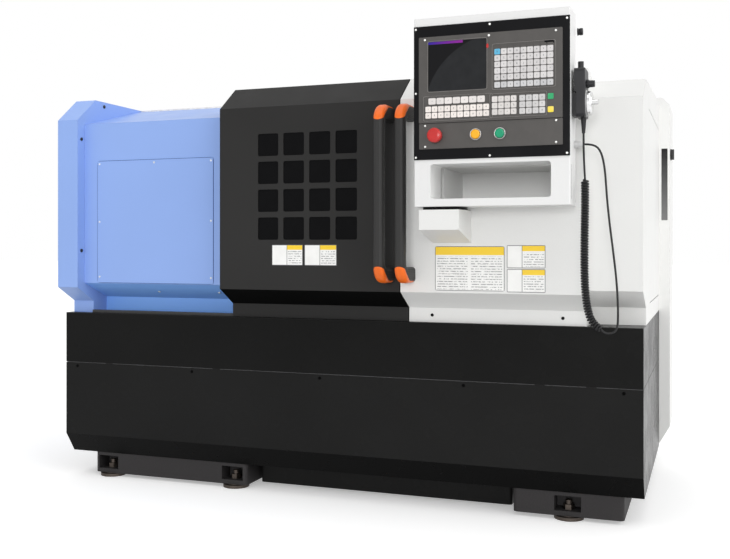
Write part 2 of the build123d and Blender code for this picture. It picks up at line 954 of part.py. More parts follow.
servo_half = servo_side / 2
with BuildPart() as z_servo:
    block(
        (bed_end, screw_y - servo_half, screw_z - servo_half),
        (bed_end + 14, screw_y + servo_half, screw_z + servo_half),
    )
    block(
        (bed_end + 14, screw_y - servo_half + 6, screw_z - servo_half + 6),
        (bed_end + servo_length, screw_y + servo_half - 6, screw_z + servo_half - 6),
    )
    fillet(edges().filter_by(Axis.X), 8)
    bar((bed_end + servo_length, screw_y, screw_z), (1, 0, 0), 36, 12)
    block(
        (bed_end + 40, screw_y - 18, screw_z + servo_half - 6),
        (bed_end + 90, screw_y + 18, screw_z + servo_half + 16),
    )
z_servo.part.label = "z_servo"
export_step(z_servo.part, "parts/z_servo.step")

# Tailstock body on the ways
tail_start = base_left + tailstock_inset
tail_end = tail_start + tailstock_length
with BuildPart() as tailstock_body:
    block(
        (tail_start, bed_front + 4, saddle_low),
        (tail_end, bed_back - 4, saddle_low + 46),
    )
    with BuildSketch(Plane.YZ.offset(tail_start + 12)) as column:
        with Locations((spindle_y, spindle_z)):
            Circle(tailstock_barrel_radius)
        with Locations((spindle_y, saddle_low + 48)):
            Rectangle(2 * tailstock_barrel_radius + 50, 8)
        make_hull()
    extrude(column.sketch, amount=tailstock_length - 24)
    bar((tail_start, spindle_y, spindle_z), (1, 0, 0), tailstock_barrel_radius - 8, tailstock_length)
    filled(
        [
            (vee_middle - way_vee_width / 2 - 1, saddle_low),
            (vee_middle - 4, bed_top + way_vee_height + 1),
            (vee_middle + 4, bed_top + way_vee_height + 1),
            (vee_middle + way_vee_width / 2 + 1, saddle_low),
        ],
        tail_start,
        tailstock_length,
        mode=Mode.SUBTRACT,
    )
    bar(
        (tail_start - 1, spindle_y, spindle_z),
        (1, 0, 0),
        quill_radius + run_fit,
        tailstock_length + 2,
        mode=Mode.SUBTRACT,
    )
tailstock_body.part.label = "tailstock_body"
export_step(tailstock_body.part, "parts/tailstock_body.step")

# Quill with its taper socket, and the handwheel that drives it
quill_start = tail_start - quill_reach
with BuildPart() as tailstock_quill:
    turned(
        [
            (quill_start, 15.6),
            (quill_start, quill_radius - 2),
            (quill_start + 2, quill_radius),
            (tail_end - 30, quill_radius),
            (tail_end - 30, 0),
            (quill_start + 90, 0),
            (quill_start + 90, 13.2),
        ],
        spindle_y,
        spindle_z,
    )
tailstock_quill.part.label = "tailstock_quill"
export_step(tailstock_quill.part, "parts/tailstock_quill.step")

wheel_start = tail_end + 1
with BuildPart() as tailstock_handwheel:
    turned(
        [
            (tail_end - 20, 0),
            (tail_end - 20, quill_radius),
            (wheel_start, quill_radius),
            (wheel_start, 34),
            (wheel_start + 14, 30),
            (wheel_start + 30, 20),
            (wheel_start + 30, 0),
        ],
        spindle_y,
        spindle_z,
    )
    with BuildSketch(Plane.YZ.offset(wheel_start + 10)) as spokes:
        with Locations((spindle_y, spindle_z)):
            with PolarLocations(handwheel_radius / 2 + 8, 3, start_angle=90):
                Rectangle(handwheel_radius - 28, 12)
    extrude(spokes.sketch, amount=10)
    rim_section = [(-8, -4), (-4, -8), (4, -8), (8, -4), (8, 4), (4, 8), (-4, 8), (-8, 4)]
    turned(
        [(wheel_start + 15 + x, handwheel_radius + r) for x, r in rim_section],
        spindle_y,
        spindle_z,
    )
    bar((wheel_start + 15, spindle_y, spindle_z + handwheel_radius), (1, 0, 0), 5, 16)
    bar((wheel_start + 30, spindle_y, spindle_z + handwheel_radius), (1, 0, 0), 9, 50)
tailstock_handwheel.part.label = "tailstock_handwheel"
export_step(tailstock_handwheel.part, "parts/tailstock_handwheel.step")

# Profiles of the enclosure, from the sill up and over the roof
sill_low = base_height + sill_lift
end_start = base_left + end_cover_inset
end_end = end_start + end_cover_length
end_profile = [
    (apron_front + end_sill_setback, base_height),
    (apron_front + end_sill_setback, sill_top - 4),
    (apron_front + end_setback, door_face_bottom - 4),
    (apron_front + end_setback, door_face_top - 6),
    (apron_front + door_bevel_setback + 14, end_top),
    (base_back, end_top),
]
fixed_profile = [
    (apron_front + fixed_sill_setback, base_height),
    (apron_front + fixed_sill_setback, sill_top + 8),
    (apron_front + fixed_setback, fixed_face_bottom),
    (apron_front + fixed_setback, fixed_face_top),
]
blue_profile = fixed_profile + [
    (apron_front + blue_slope_setback, roof_height),
    (base_back, roof_height),
]
right_profile = fixed_profile + [
    (apron_front + right_slope_setback, right_slope_top),
    (base_back - 260, roof_height + 4),
    (base_back, roof_height + 4),
]
door_profile = [
    (apron_front + door_sill_setback, sill_low),
    (apron_front + door_sill_setback, sill_top),
    (apron_front + door_setback, door_face_bottom),
    (apron_front + door_setback, door_face_top),
    (apron_front + door_bevel_setback, door_top),
]

# End cover over the belt drive, with both side walls
with BuildPart() as end_cover:
    folded(end_profile, end_start, end_cover_length)
    filled(end_profile + [(base_back, base_height)], end_start, sheet)
    block(
        (end_start, base_back - sheet, base_height),
        (end_end, base_back, end_top),
    )
    folded(end_profile, end_end - sheet, sheet, width=end_flange_width)
end_cover.part.label = "end_cover"
export_step(end_cover.part, "parts/end_cover.step")

# Headstock cover, a folded sheet from the end cover to behind the door
blue_start = end_end
blue_end = base_left + door_inset + blue_overlap
with BuildPart() as headstock_cover:
    folded(blue_profile, blue_start, blue_end - blue_start)
    folded(blue_profile[:5], blue_end - sheet, sheet, width=flange_width)
    block((blue_start, base_back - sheet, base_height), (blue_end, base_back, roof_height))
headstock_cover.part.label = "headstock_cover"
export_step(headstock_cover.part, "parts/headstock_cover.step")

# Access panel screwed on the headstock cover
panel_start = base_left + panel_inset
panel_end = panel_start + panel_length
panel_low = fixed_face_bottom + 3
fixed_front = apron_front + fixed_setback
with BuildPart() as access_panel:
    block(
        (panel_start, fixed_front - panel_thick, panel_low),
        (panel_end, fixed_front, panel_top),
    )
    fillet(edges().filter_by(Axis.Y), 4)
access_panel.part.label = "access_panel"
export_step(access_panel.part, "parts/access_panel.step")

# Sliding door: one folded sheet, hung over the roof rail, with a barred window
door_start = base_left + door_inset
door_end = door_start + door_length
door_front = apron_front + door_setback
rail_y = apron_front + rail_setback
window_z = (door_face_bottom + door_face_top) / 2 + window_rise
door_middle = door_start + door_length / 2
with BuildPart() as sliding_door:
    folded(
        door_profile + [(rail_y + rail_width + 1 + sheet, door_top)],
        door_start,
        door_length,
    )
    block(
        (door_start, rail_y + rail_width + 1, door_top - rail_height),
        (door_end, rail_y + rail_width + 1 + sheet, door_top - sheet),
    )
    folded(door_profile, door_start, sheet, width=flange_width)
    folded(door_profile, door_end - sheet, sheet, width=flange_width)
    block(
        (door_start - 1, apron_front + low_rail_setback - 1, base_height),
        (
            door_end + 1,
            apron_front + low_rail_setback + rail_width + 1,
            base_height + low_rail_height + 1,
        ),
        mode=Mode.SUBTRACT,
    )
    with BuildSketch(Plane.XZ.offset(-door_front)) as window:
        with Locations((door_middle, window_z)):
            with GridLocations(window_pitch, window_pitch, window_count, window_count):
                RectangleRounded(window_hole, window_hole, window_corner)
    extrude(window.sketch, amount=-sheet, mode=Mode.SUBTRACT)
sliding_door.part.label = "sliding_door"
export_step(sliding_door.part, "parts/sliding_door.step")

pane_half = (window_count - 1) * window_pitch / 2 + window_hole / 2 + pane_edge
with BuildPart() as door_window:
    block(
        (door_middle - pane_half, door_front + sheet, window_z - pane_half),
        (door_middle + pane_half, door_front + sheet + pane_thick, window_z + pane_half),
    )
    fillet(edges().filter_by(Axis.Y), 12)
door_window.part.label = "door_window"
export_step(door_window.part, "parts/door_window.step")

# Rails of the sliding door: one on the roof, one on the tray rim
hood_start = door_end + meeting_gap
hood_end = hood_start + hood_length
rail_start = end_end + 4
rail_end = hood_start - 4
door_top_low = door_top - sheet - face_gap
with BuildPart() as door_rails:
    block((rail_start, rail_y, roof_height), (rail_end, rail_y + rail_width, door_top_low))
    block(
        (rail_start, apron_front + low_rail_setback, base_height),
        (
            rail_end,
            apron_front + low_rail_setback + rail_width,
            base_height + low_rail_height,
        ),
    )
door_rails.part.label = "door_rails"
export_step(door_rails.part, "parts/door_rails.step")


# Pull handles: a moulded bow with round edges and a cover strip on each of its corners
def bow_slab(foot_x, width, grow, mode=Mode.ADD):
    """A slab in the outline of a handle moved out by grow: round in front, flat at the door."""
    reach = handle_reach + grow
    height = handle_height + 2 * grow
    with BuildSketch(Plane.YZ.offset(foot_x - width / 2)) as side:
        with Locations((door_front, handle_middle)):
            RectangleRounded(2 * reach, height, handle_bend + grow)
            Rectangle(
                2 * reach,
                height,
                align=(Align.MAX, Align.CENTER),
                mode=Mode.INTERSECT,
            )
    extrude(side.sketch, amount=width, mode=mode)


def bow_handle(foot_x):
    """A bow handle: its slab without the window behind the grip, all long edges rounded."""
    bow_slab(foot_x, handle_thick, 0)
    with BuildSketch(Plane.YZ.offset(foot_x - handle_thick / 2)) as window:
        with Locations((door_front, handle_middle)):
            RectangleRounded(
                2 * (handle_reach - handle_thick),
                handle_height - 2 * handle_arm,
                handle_inner_bend,
            )
    extrude(window.sketch, amount=handle_thick, mode=Mode.SUBTRACT)
    rims = faces().filter_by(Axis.X).edges()
    fillet(rims.filter_by(lambda rim: rim.center().Y < door_front - 1), handle_edge)


def corner_covers(foot_x):
    """The two cover strips, bent over the outside of the handle's corners."""
    bow_slab(foot_x, cover_width, cover_gap + cover_wall)
    bow_slab(foot_x, cover_width, cover_gap, mode=Mode.SUBTRACT)
    half = handle_height / 2
    front = door_front - handle_reach - cover_gap - cover_wall
    block(
        (foot_x - cover_width, front - 1, handle_middle - half + cover_drop),
        (foot_x + cover_width, door_front + 1, handle_middle + half - cover_drop),
        mode=Mode.SUBTRACT,
    )
    block(
        (foot_x - cover_width, door_front - cover_setback, handle_middle - handle_height),
        (foot_x + cover_width, door_front + 1, handle_middle + handle_height),
        mode=Mode.SUBTRACT,
    )


def tube_along(points, radii, radius):
    """A round tube along straight runs joined by arcs."""
    with BuildLine() as route:
        FilletPolyline(*points, radius=radii)
    first = Vector(*points[1]) - Vector(*points[0])
    with BuildSketch(Plane(origin=points[0], z_dir=first)) as section:
        Circle(radius)
    sweep(section.sketch, path=route.line)


door_foot_x = door_end - door_handle_inset
with BuildPart() as door_handle_grip:
    bow_handle(door_foot_x)
door_handle_grip.part.label = "door_handle_grip"
export_step(door_handle_grip.part, "parts/door_handle_grip.step")

with BuildPart() as door_handle_caps:
    corner_covers(door_foot_x)
door_handle_caps.part.label = "door_handle_caps"
export_step(door_handle_caps.part, "parts/door_handle_caps.step")

hood_foot_x = hood_start + hood_handle_inset
with BuildPart() as hood_handle_grip:
    bow_handle(hood_foot_x)
hood_handle_grip.part.label = "hood_handle_grip"
export_step(hood_handle_grip.part, "parts/hood_handle_grip.step")

with BuildPart() as hood_handle_caps:
    corner_covers(hood_foot_x)
hood_handle_caps.part.label = "hood_handle_caps"
export_step(hood_handle_caps.part, "parts/hood_handle_caps.step")

# Main hood: fixed white front with a storage niche behind the console pocket
console_start = base_left + console_inset
niche_start = console_start + pocket_left
niche_end = niche_start + pocket_length
niche_back = door_front + niche_depth
hood_profile = [(apron_front + door_sill_setback, base_height)] + door_profile[1:]
hood_back = apron_front + roof_front + hood_lap
hood_wall_back = apron_front + hood_wall_setback
hood_roof = [(hood_back, door_top), (hood_back, roof_height)]
with BuildPart() as main_hood:
    folded(hood_profile + hood_roof, hood_start, hood_length)
    folded(hood_profile, hood_start, sheet, width=flange_width)
    side_outline = hood_profile + hood_roof
    side_outline += [(hood_wall_back, roof_height), (hood_wall_back, base_height)]
    filled(side_outline, hood_end - sheet, sheet)
    block(
        (niche_start - sheet, door_front + sheet, pocket_bottom - sheet),
        (niche_end + sheet, niche_back + sheet, pocket_top + sheet),
    )
    block(
        (niche_start, door_front - 1, pocket_bottom),
        (niche_end, niche_back, pocket_top),
        mode=Mode.SUBTRACT,
    )
main_hood.part.label = "main_hood"
export_step(main_hood.part, "parts/main_hood.step")

# Right cover: the recessed end of the enclosure, with its slotted end wall
slot_width = 3.0
with BuildPart() as right_cover:
    folded(right_profile, hood_end, base_right - hood_end)
    filled(right_profile + [(base_back, base_height)], base_right - sheet, sheet)
    block((hood_end, base_back - sheet, base_height), (base_right, base_back, roof_height))
    block(
        (base_right - 2 * sheet, apron_front + 250, 1254),
        (base_right + 1, base_back - 30, 1254 + slot_width),
        mode=Mode.SUBTRACT,
    )
    block(
        (base_right - 2 * sheet, apron_front + 300, 645),
        (base_right + 1, base_back - 30, 645 + slot_width),
        mode=Mode.SUBTRACT,
    )
    block(
        (base_right - 2 * sheet, apron_front + 405, 903),
        (base_right + 1, apron_front + 405 + slot_width, 998),
        mode=Mode.SUBTRACT,
    )
right_cover.part.label = "right_cover"
export_step(right_cover.part, "parts/right_cover.step")

# Roof and back wall of the work space in one folded sheet
roof_line = [
    (apron_front + roof_front, roof_height - 40),
    (apron_front + roof_front, roof_height),
    (base_back, roof_height),
    (base_back, base_height),
]
with BuildPart() as roof_panel:
    folded(roof_line, blue_end, hood_end - sheet - blue_end)
roof_panel.part.label = "roof_panel"
export_step(roof_panel.part, "parts/roof_panel.step")

# Screws of the sheet metal, each a low round head
apron_screw_xs = [base_left + x for x in (42, 480, 935, 1405, 1925)]
apron_screw_z = apron_seam - 12
panel_screw_places = [
    (x, z)
    for z, xs in (
        (panel_top - 10, (panel_start + 8, (panel_start + panel_end) / 2, panel_end - 8)),
        ((panel_low + panel_top) / 2, (panel_start + 8, panel_end - 8)),
        (panel_low + 20, (panel_start + 8, panel_end - 8)),
    )
    for x in xs
]
sill_screw_z = (base_height + sill_top) / 2
with BuildPart() as panel_screws:
    for x in apron_screw_xs:
        bar((x, apron_front, apron_screw_z), (0, -1, 0), screw_radius, screw_head)
    for x, z in panel_screw_places:
        bar((x, fixed_front - panel_thick, z), (0, -1, 0), screw_radius, screw_head)
    for x in (hood_start + 75, hood_end - 70):
        bar(
            (x, apron_front + door_sill_setback, sill_screw_z),
            (0, -1, 0),
            screw_radius,
            screw_head,
        )
panel_screws.part.label = "panel_screws"
export_step(panel_screws.part, "parts/panel_screws.step")

# Electrical cabinet on the back: a box with bevelled right edges, open to the rear
cabinet_end = base_right + cabinet_overhang
cabinet_start = cabinet_end - cabinet_length
cabinet_front = base_back
cabinet_back = cabinet_front + cabinet_depth
switch_y = cabinet_front + switch_inset
cabinet_outline = [
    (cabinet_start, cabinet_bottom),
    (cabinet_end - cabinet_low_bevel, cabinet_bottom),
    (cabinet_end, cabinet_bottom + 62),
    (cabinet_end, cabinet_top - cabinet_high_bevel),
    (cabinet_end - cabinet_high_bevel, cabinet_top),
    (cabinet_start, cabinet_top),
]
vent_low = 923.0
vent_high = 1190.0
with BuildPart() as electrical_cabinet:
    with BuildSketch(Plane.XZ.offset(-cabinet_front)):
        with BuildLine():
            Polyline(*cabinet_outline, close=True)
        make_face()
    extrude(amount=-cabinet_depth)
    with BuildSketch(Plane.XZ.offset(-cabinet_front - cabinet_wall)):
        with BuildLine():
            Polyline(*cabinet_outline, close=True)
        make_face()
        offset(amount=-cabinet_wall)
    extrude(amount=-(cabinet_depth - 2 * cabinet_wall), mode=Mode.SUBTRACT)
    block(
        (cabinet_start + cabinet_frame, cabinet_back - 2 * cabinet_wall, cabinet_bottom + 70),
        (cabinet_end - cabinet_frame, cabinet_back + 1, cabinet_top - 40),
        mode=Mode.SUBTRACT,
    )
    block(
        (cabinet_end - 30, cabinet_front - 1, vent_low),
        (cabinet_end - 8, cabinet_front + 2, vent_high),
        mode=Mode.SUBTRACT,
    )
    bar(
        (cabinet_end - cabinet_wall - 1, switch_y, switch_height),
        (1, 0, 0),
        6 + run_fit,
        cabinet_wall + 2,
        mode=Mode.SUBTRACT,
    )
    hinge_x = cabinet_start - hinge_radius
    hinge_y = cabinet_back + hinge_radius
    for hinge_z in (cabinet_bottom + 160, cabinet_top - 220):
        bar((hinge_x, hinge_y, hinge_z), (0, 0, 1), hinge_radius, 30)
        block(
            (hinge_x, cabinet_back - 30, hinge_z),
            (cabinet_start, hinge_y, hinge_z + 30),
        )
        bar((hinge_x, hinge_y, hinge_z + 30), (0, 0, 1), hinge_pin_radius, 28)
electrical_cabinet.part.label = "electrical_cabinet"
export_step(electrical_cabinet.part, "parts/electrical_cabinet.step")

# Cabinet door, a tray of sheet with its hinge knuckles and a lock
door_low = cabinet_bottom + 66
with BuildPart() as cabinet_door:
    block(
        (cabinet_start + 2, cabinet_back + 2, door_low),
        (cabinet_end - 4, cabinet_back + cabinet_door_thick, cabinet_top - 34),
    )
    fillet(edges().filter_by(Axis.Y), 5)
    block(
        (cabinet_start + 2 + sheet, cabinet_back, door_low + sheet),
        (cabinet_end - 4 - sheet, cabinet_back + cabinet_door_thick - sheet, cabinet_top - 34 - sheet),
        mode=Mode.SUBTRACT,
    )
    for hinge_z in (cabinet_bottom + 160, cabinet_top - 220):
        block(
            (hinge_x, hinge_y + 1, hinge_z + 30.5),
            (cabinet_start + 4, hinge_y + hinge_radius, hinge_z + 58),
        )
        bar((hinge_x, hinge_y, hinge_z + 30.5), (0, 0, 1), hinge_radius, 27.5)
        bar(
            (hinge_x, hinge_y, hinge_z + 30),
            (0, 0, 1),
            hinge_pin_radius + run_fit,
            29,
            mode=Mode.SUBTRACT,
        )
cabinet_door.part.label = "cabinet_door"
export_step(cabinet_door.part, "parts/cabinet_door.step")

# Main switch on the side of the cabinet
with BuildPart() as main_switch:
    bar(
        (cabinet_end - cabinet_wall, switch_y, switch_height),
        (1, 0, 0),
        6,
        cabinet_wall + 2,
    )
    bar(
        (cabinet_end + 1, switch_y, switch_height),
        (1, 0, 0),
        switch_radius,
        4,
    )
    block(
        (cabinet_end + 5, switch_y - 7, switch_height - switch_radius + 2),
        (
            cabinet_end + switch_reach,
            switch_y + 7,
            switch_height + switch_radius - 2,
        ),
    )
main_switch.part.label = "main_switch"
export_step(main_switch.part, "parts/main_switch.step")

# Console bracket: a wedge on the hood with the swivel disc and its pin
console_front = apron_front - console_reach
console_end = console_start + console_length
disc_low = console_bottom - pivot_disc_height
pivot_x = base_left + pivot_inset
pivot_y = apron_front + pivot_setback
with BuildPart() as console_bracket:
    filled(
        [
            (console_front, disc_low),
            (console_front, disc_low - bracket_front_height),
            (door_front, disc_low - bracket_back_drop),
            (door_front, disc_low),
        ],
        base_left + bracket_inset,
        bracket_length,
    )
    bar(
        (pivot_x, pivot_y, disc_low),
        (0, 0, 1),
        pivot_disc_radius,
        pivot_disc_height - face_gap,
    )
    bar((pivot_x, pivot_y, disc_low), (0, 0, 1), pivot_pin_radius, pocket_bottom - disc_low)
console_bracket.part.label = "console_bracket"
export_step(console_bracket.part, "parts/console_bracket.step")

# Console housing with its through pocket, rear hump and bores for the buttons
housing_front = console_front + plate_thick
housing_back = console_front + console_depth
button_xs = [console_start + inset for inset in (estop_inset, start_inset, stop_inset)]
with BuildPart() as console_housing:
    block(
        (console_start, housing_front, console_bottom),
        (console_end, housing_back, console_top),
    )
    fillet(edges().filter_by(Axis.Z), 3)
    block(
        (console_start + hump_side, housing_back - 10, hump_bottom),
        (console_end - hump_side / 2, housing_back + hump_depth, hump_top),
    )
    with BuildSketch(Plane.XZ.offset(-housing_front)) as pocket:
        with Locations(
            (console_start + pocket_left + pocket_length / 2, (pocket_bottom + pocket_top) / 2)
        ):
            RectangleRounded(pocket_length, pocket_top - pocket_bottom, pocket_corner)
    extrude(pocket.sketch, amount=-console_depth, mode=Mode.SUBTRACT)
    bar(
        (pivot_x, pivot_y, console_bottom),
        (0, 0, 1),
        pivot_pin_radius + run_fit,
        pocket_bottom - console_bottom + pocket_corner,
        mode=Mode.SUBTRACT,
    )
    for x in button_xs:
        bar(
            (x, housing_front, button_height),
            (0, 1, 0),
            button_neck_radius + run_fit,
            button_neck_length + estop_travel + 4,
            mode=Mode.SUBTRACT,
        )
    block(
        (console_end - 6, housing_front + 44, pocket_bottom + 2),
        (console_end + 1, housing_front + 47, pocket_top - 8),
        mode=Mode.SUBTRACT,
    )
console_housing.part.label = "console_housing"
export_step(console_housing.part, "parts/console_housing.step")

# Black front plate of the console
with BuildPart() as console_plate:
    block((console_start, console_front, plate_bottom), (console_end, housing_front, plate_top))
    for x in button_xs:
        bar(
            (x, console_front - 1, button_height),
            (0, 1, 0),
            button_neck_radius + run_fit,
            plate_thick + 2,
            mode=Mode.SUBTRACT,
        )
console_plate.part.label = "console_plate"
export_step(console_plate.part, "parts/console_plate.step")

# Control unit: bezel with the screen recess and the raised membrane keys
unit_start = console_start + unit_inset
unit_end = unit_start + unit_length
unit_front = console_front - unit_thick
unit_top = unit_bottom + unit_height
screen_start = unit_start + screen_inset
screen_low = unit_bottom + screen_rise


def key_grid(start, low, width, height, columns, rows):
    """Raised keys that fill a rectangle of the bezel."""
    pitch_x = width / columns
    pitch_z = height / rows
    with BuildSketch(Plane.XZ.offset(-unit_front)) as keys:
        with Locations((start + width / 2, low + height / 2)):
            with GridLocations(pitch_x, pitch_z, columns, rows):
                Rectangle(pitch_x - key_gap, pitch_z - key_gap)
    extrude(keys.sketch, amount=key_rise)


with BuildPart() as cnc_unit:
    block((unit_start, unit_front, unit_bottom), (unit_end, console_front, unit_top))
    fillet(edges().filter_by(Axis.Y), 3)
    block(
        (screen_start, unit_front - 1, screen_low),
        (screen_start + screen_length, unit_front + screen_depth, screen_low + screen_height),
        mode=Mode.SUBTRACT,
    )
    key_grid(unit_start + 219, unit_bottom + 93, 165, 115, 9, 6)
    key_grid(unit_start + 28, unit_bottom + 56, 166, 21, 7, 1)
    key_grid(unit_start + 19, unit_bottom + 16, 187, 38, 10, 2)
    key_grid(unit_start + 212, unit_bottom + 16, 71, 55, 4, 3)
    key_grid(unit_start + 289, unit_bottom + 16, 73, 55, 4, 3)
    key_grid(unit_start + 367, unit_bottom + 52, 18, 18, 1, 1)
    key_grid(unit_start + 367, unit_bottom + 16, 18, 18, 1, 1)
cnc_unit.part.label = "cnc_unit"
export_step(cnc_unit.part, "parts/cnc_unit.step")

with BuildPart() as cnc_screen:
    block(
        (screen_start, unit_front + 0.5, screen_low),
        (screen_start + screen_length, unit_front + screen_depth, screen_low + screen_height),
    )
cnc_screen.part.label = "cnc_screen"
export_step(cnc_screen.part, "parts/cnc_screen.step")

# Operator panel strip under the control unit
strip_low = unit_bottom - panel_strip_height
strip_front = console_front - panel_strip_thick
with BuildPart() as operator_panel:
    block((unit_start, strip_front, strip_low), (unit_end, console_front, unit_bottom - 1))
    fillet(edges().filter_by(Axis.Y), 2)
    for x in button_xs[1:]:
        bar((x, strip_front, button_height), (0, -1, 0), button_ring_radius, button_ring_rise)
        bar(
            (x, strip_front, button_height),
            (0, -1, 0),
            button_head_radius + face_gap,
            button_ring_rise + 1,
            mode=Mode.SUBTRACT,
        )
    for x in button_xs:
        bar(
            (x, strip_front - 1, button_height),
            (0, 1, 0),
            button_neck_radius + run_fit,
            panel_strip_thick + 2,
            mode=Mode.SUBTRACT,
        )
operator_panel.part.label = "operator_panel"
export_step(operator_panel.part, "parts/operator_panel.step")


# Push buttons: a neck in the panel and a head in front of it
def push_button(x, head_start, head_points):
    """A neck behind and a turned head, both about a line along Y."""
    bar((x, head_start, button_height), (0, 1, 0), button_neck_radius, button_neck_length)
    with BuildSketch(Plane(origin=(x, 0, button_height), x_dir=(1, 0, 0), z_dir=(0, 0, 1))) as half:
        with BuildLine():
            Polyline(*head_points, close=True)
        make_face()
    revolve(half.sketch, axis=Axis((x, 0, button_height), (0, 1, 0)))


estop_front = console_front - estop_reach
estop_gap = estop_travel + 1
with BuildPart() as estop_button:
    push_button(
        button_xs[0],
        strip_front - estop_gap,
        [
            (0, estop_front),
            (estop_radius - 9, estop_front),
            (estop_radius - 3, estop_front + 1.5),
            (estop_radius, estop_front + 5),
            (estop_radius, strip_front - estop_gap - 6),
            (button_neck_radius + 3, strip_front - estop_gap),
            (0, strip_front - estop_gap),
        ],
    )
estop_button.part.label = "estop_button"
export_step(estop_button.part, "parts/estop_button.step")

lens_low = strip_front - button_travel - 1
lens_points = [
    (0, lens_low - 8),
    (button_head_radius - 3, lens_low - 8),
    (button_head_radius, lens_low - 5),
    (button_head_radius, lens_low),
    (0, lens_low),
]
with BuildPart() as start_button:
    push_button(button_xs[1], lens_low, lens_points)
start_button.part.label = "start_button"
export_step(start_button.part, "parts/start_button.step")

with BuildPart() as stop_button:
    push_button(button_xs[2], lens_low, lens_points)
stop_button.part.label = "stop_button"
export_step(stop_button.part, "parts/stop_button.step")

# Hand pendant on the right side of the console, its face to the right
pendant_back = console_end + pendant_gap
pendant_face = pendant_back + pendant_thick
pendant_y = apron_front + pendant_setback
pendant_top = pendant_bottom + pendant_height
wheel_z = pendant_bottom + pendant_wheel_rise
knob_z = pendant_bottom + pendant_knob_rise
with BuildPart() as pendant_body:
    block(
        (pendant_back, pendant_y - pendant_width / 2, pendant_bottom),
        (pendant_face, pendant_y + pendant_width / 2, pendant_top),
    )
    fillet(edges().filter_by(Axis.X), 10)
    fillet(faces().sort_by(Axis.X)[-1].edges(), 3)
    bar((pendant_back + 14, pendant_y, pendant_top), (0, 0, 1), 8, 22)
    block(
        (pendant_back - 1, pendant_y - pendant_width, pendant_bottom - 1),
        (pendant_back + pendant_step, pendant_y + pendant_width, pendant_bottom + 70),
        mode=Mode.SUBTRACT,
    )
    block(
        (console_end, pendant_y - 22, pendant_bottom + 4),
        (pendant_back + pendant_step, pendant_y + 22, pendant_bottom + 70),
    )
    for stub_z in (wheel_z, knob_z):
        bar(
            (pendant_face + 1, pendant_y, stub_z),
            (-1, 0, 0),
            pendant_stub_radius + run_fit,
            13,
            mode=Mode.SUBTRACT,
        )
pendant_body.part.label = "pendant_body"
export_step(pendant_body.part, "parts/pendant_body.step")

with BuildPart() as pendant_wheel:
    turned(
        [
            (pendant_face - 11, 0),
            (pendant_face - 11, pendant_stub_radius),
            (pendant_face + 1, pendant_stub_radius),
            (pendant_face + 1, pendant_wheel_radius - 3),
            (pendant_face + 4, pendant_wheel_radius),
            (pendant_face + 12, pendant_wheel_radius),
            (pendant_face + 16, pendant_wheel_radius - 5),
            (pendant_face + 16, 0),
        ],
        pendant_y,
        wheel_z,
    )
    bar(
        (pendant_face + 16, pendant_y - pendant_wheel_radius + 13, wheel_z),
        (1, 0, 0),
        7,
        18,
    )
pendant_wheel.part.label = "pendant_wheel"
export_step(pendant_wheel.part, "parts/pendant_wheel.step")

with BuildPart() as pendant_knob:
    turned(
        [
            (pendant_face - 11, 0),
            (pendant_face - 11, pendant_stub_radius),
            (pendant_face + 1, pendant_stub_radius),
            (pendant_face + 1, pendant_knob_radius + 2),
            (pendant_face + 6, pendant_knob_radius + 2),
            (pendant_face + 7, pendant_knob_radius),
            (pendant_face + 22, pendant_knob_radius - 1),
            (pendant_face + 22, 0),
        ],
        pendant_y,
        knob_z,
    )
pendant_knob.part.label = "pendant_knob"
export_step(pendant_knob.part, "parts/pendant_knob.step")

# Strain relief under the pendant and cable gland on the console
boot_x = pendant_face - boot_inset
boot_low = pendant_bottom - boot_length
with BuildPart() as pendant_boot:
    with BuildSketch(Plane(origin=(boot_x, pendant_y, pendant_bottom), z_dir=(0, 0, -1))):
        Circle(boot_radius)
    with BuildSketch(Plane(origin=(boot_x, pendant_y, boot_low), z_dir=(0, 0, -1))):
        Circle(cord_radius + 1.5)
    loft()
pendant_boot.part.label = "pendant_boot"
export_step(pendant_boot.part, "parts/pendant_boot.step")

gland_y = apron_front + gland_setback
gland_end = console_end + gland_length
with BuildPart() as cord_gland:
    turned(
        [
            (console_end, 0),
            (console_end, gland_radius),
            (console_end + 8, gland_radius),
            (console_end + 9, gland_radius - 1.5),
            (console_end + 18, gland_radius - 2),
            (gland_end, cord_radius + 2),
            (gland_end, 0),
        ],
        gland_y,
        gland_height,
    )
cord_gland.part.label = "cord_gland"
export_step(cord_gland.part, "parts/cord_gland.step")

# Route of the cord: down from the pendant as a coil, up again to the console as a lead
tail_route = [
    (boot_x, pendant_y, boot_low),
    (boot_x, pendant_y, boot_low - 40),
    (boot_x + 1, pendant_y + 3, boot_low - 84),
    (boot_x + 3, pendant_y + 5, boot_low - 126),
]
coil_route = [
    tail_route[-1],
    (boot_x + 4, pendant_y + 7, boot_low - 168),
    (console_end + 29, pendant_y + 8, 800),
    (console_end + 31, pendant_y + 9, 700),
    (console_end + 41, pendant_y + 10, 634),
    (console_end + 57, pendant_y + 11, 607),
    (console_end + 76, pendant_y + 12, 593),
]
coil_tip = Vector(*coil_route[-1])
coil_heading = (coil_tip - Vector(*coil_route[-2])).normalized()
lead_route = [
    (gland_end, gland_y, gland_height),
    (gland_end + 30, gland_y, gland_height),
    (gland_end + 50, gland_y - 1, gland_height - 22),
    (gland_end + 60, gland_y - 2, gland_height - 70),
    (gland_end + 65, gland_y - 3, gland_height - 148),
    (gland_end + 73, gland_y - 5, gland_height - 226),
    (gland_end + 83, gland_y - 6, gland_height - 304),
    (gland_end + 92, gland_y - 8, gland_height - 382),
    (gland_end + 95.5, gland_y - 9, gland_height - 446),
    (gland_end + 96, gland_y - 10, gland_height - 484),
    (gland_end + 95, gland_y - 11, gland_height - 508),
    (gland_end + 87, gland_y - 12, gland_height - 524),
    tuple(coil_tip + coil_heading * 16),
    coil_route[-1],
]
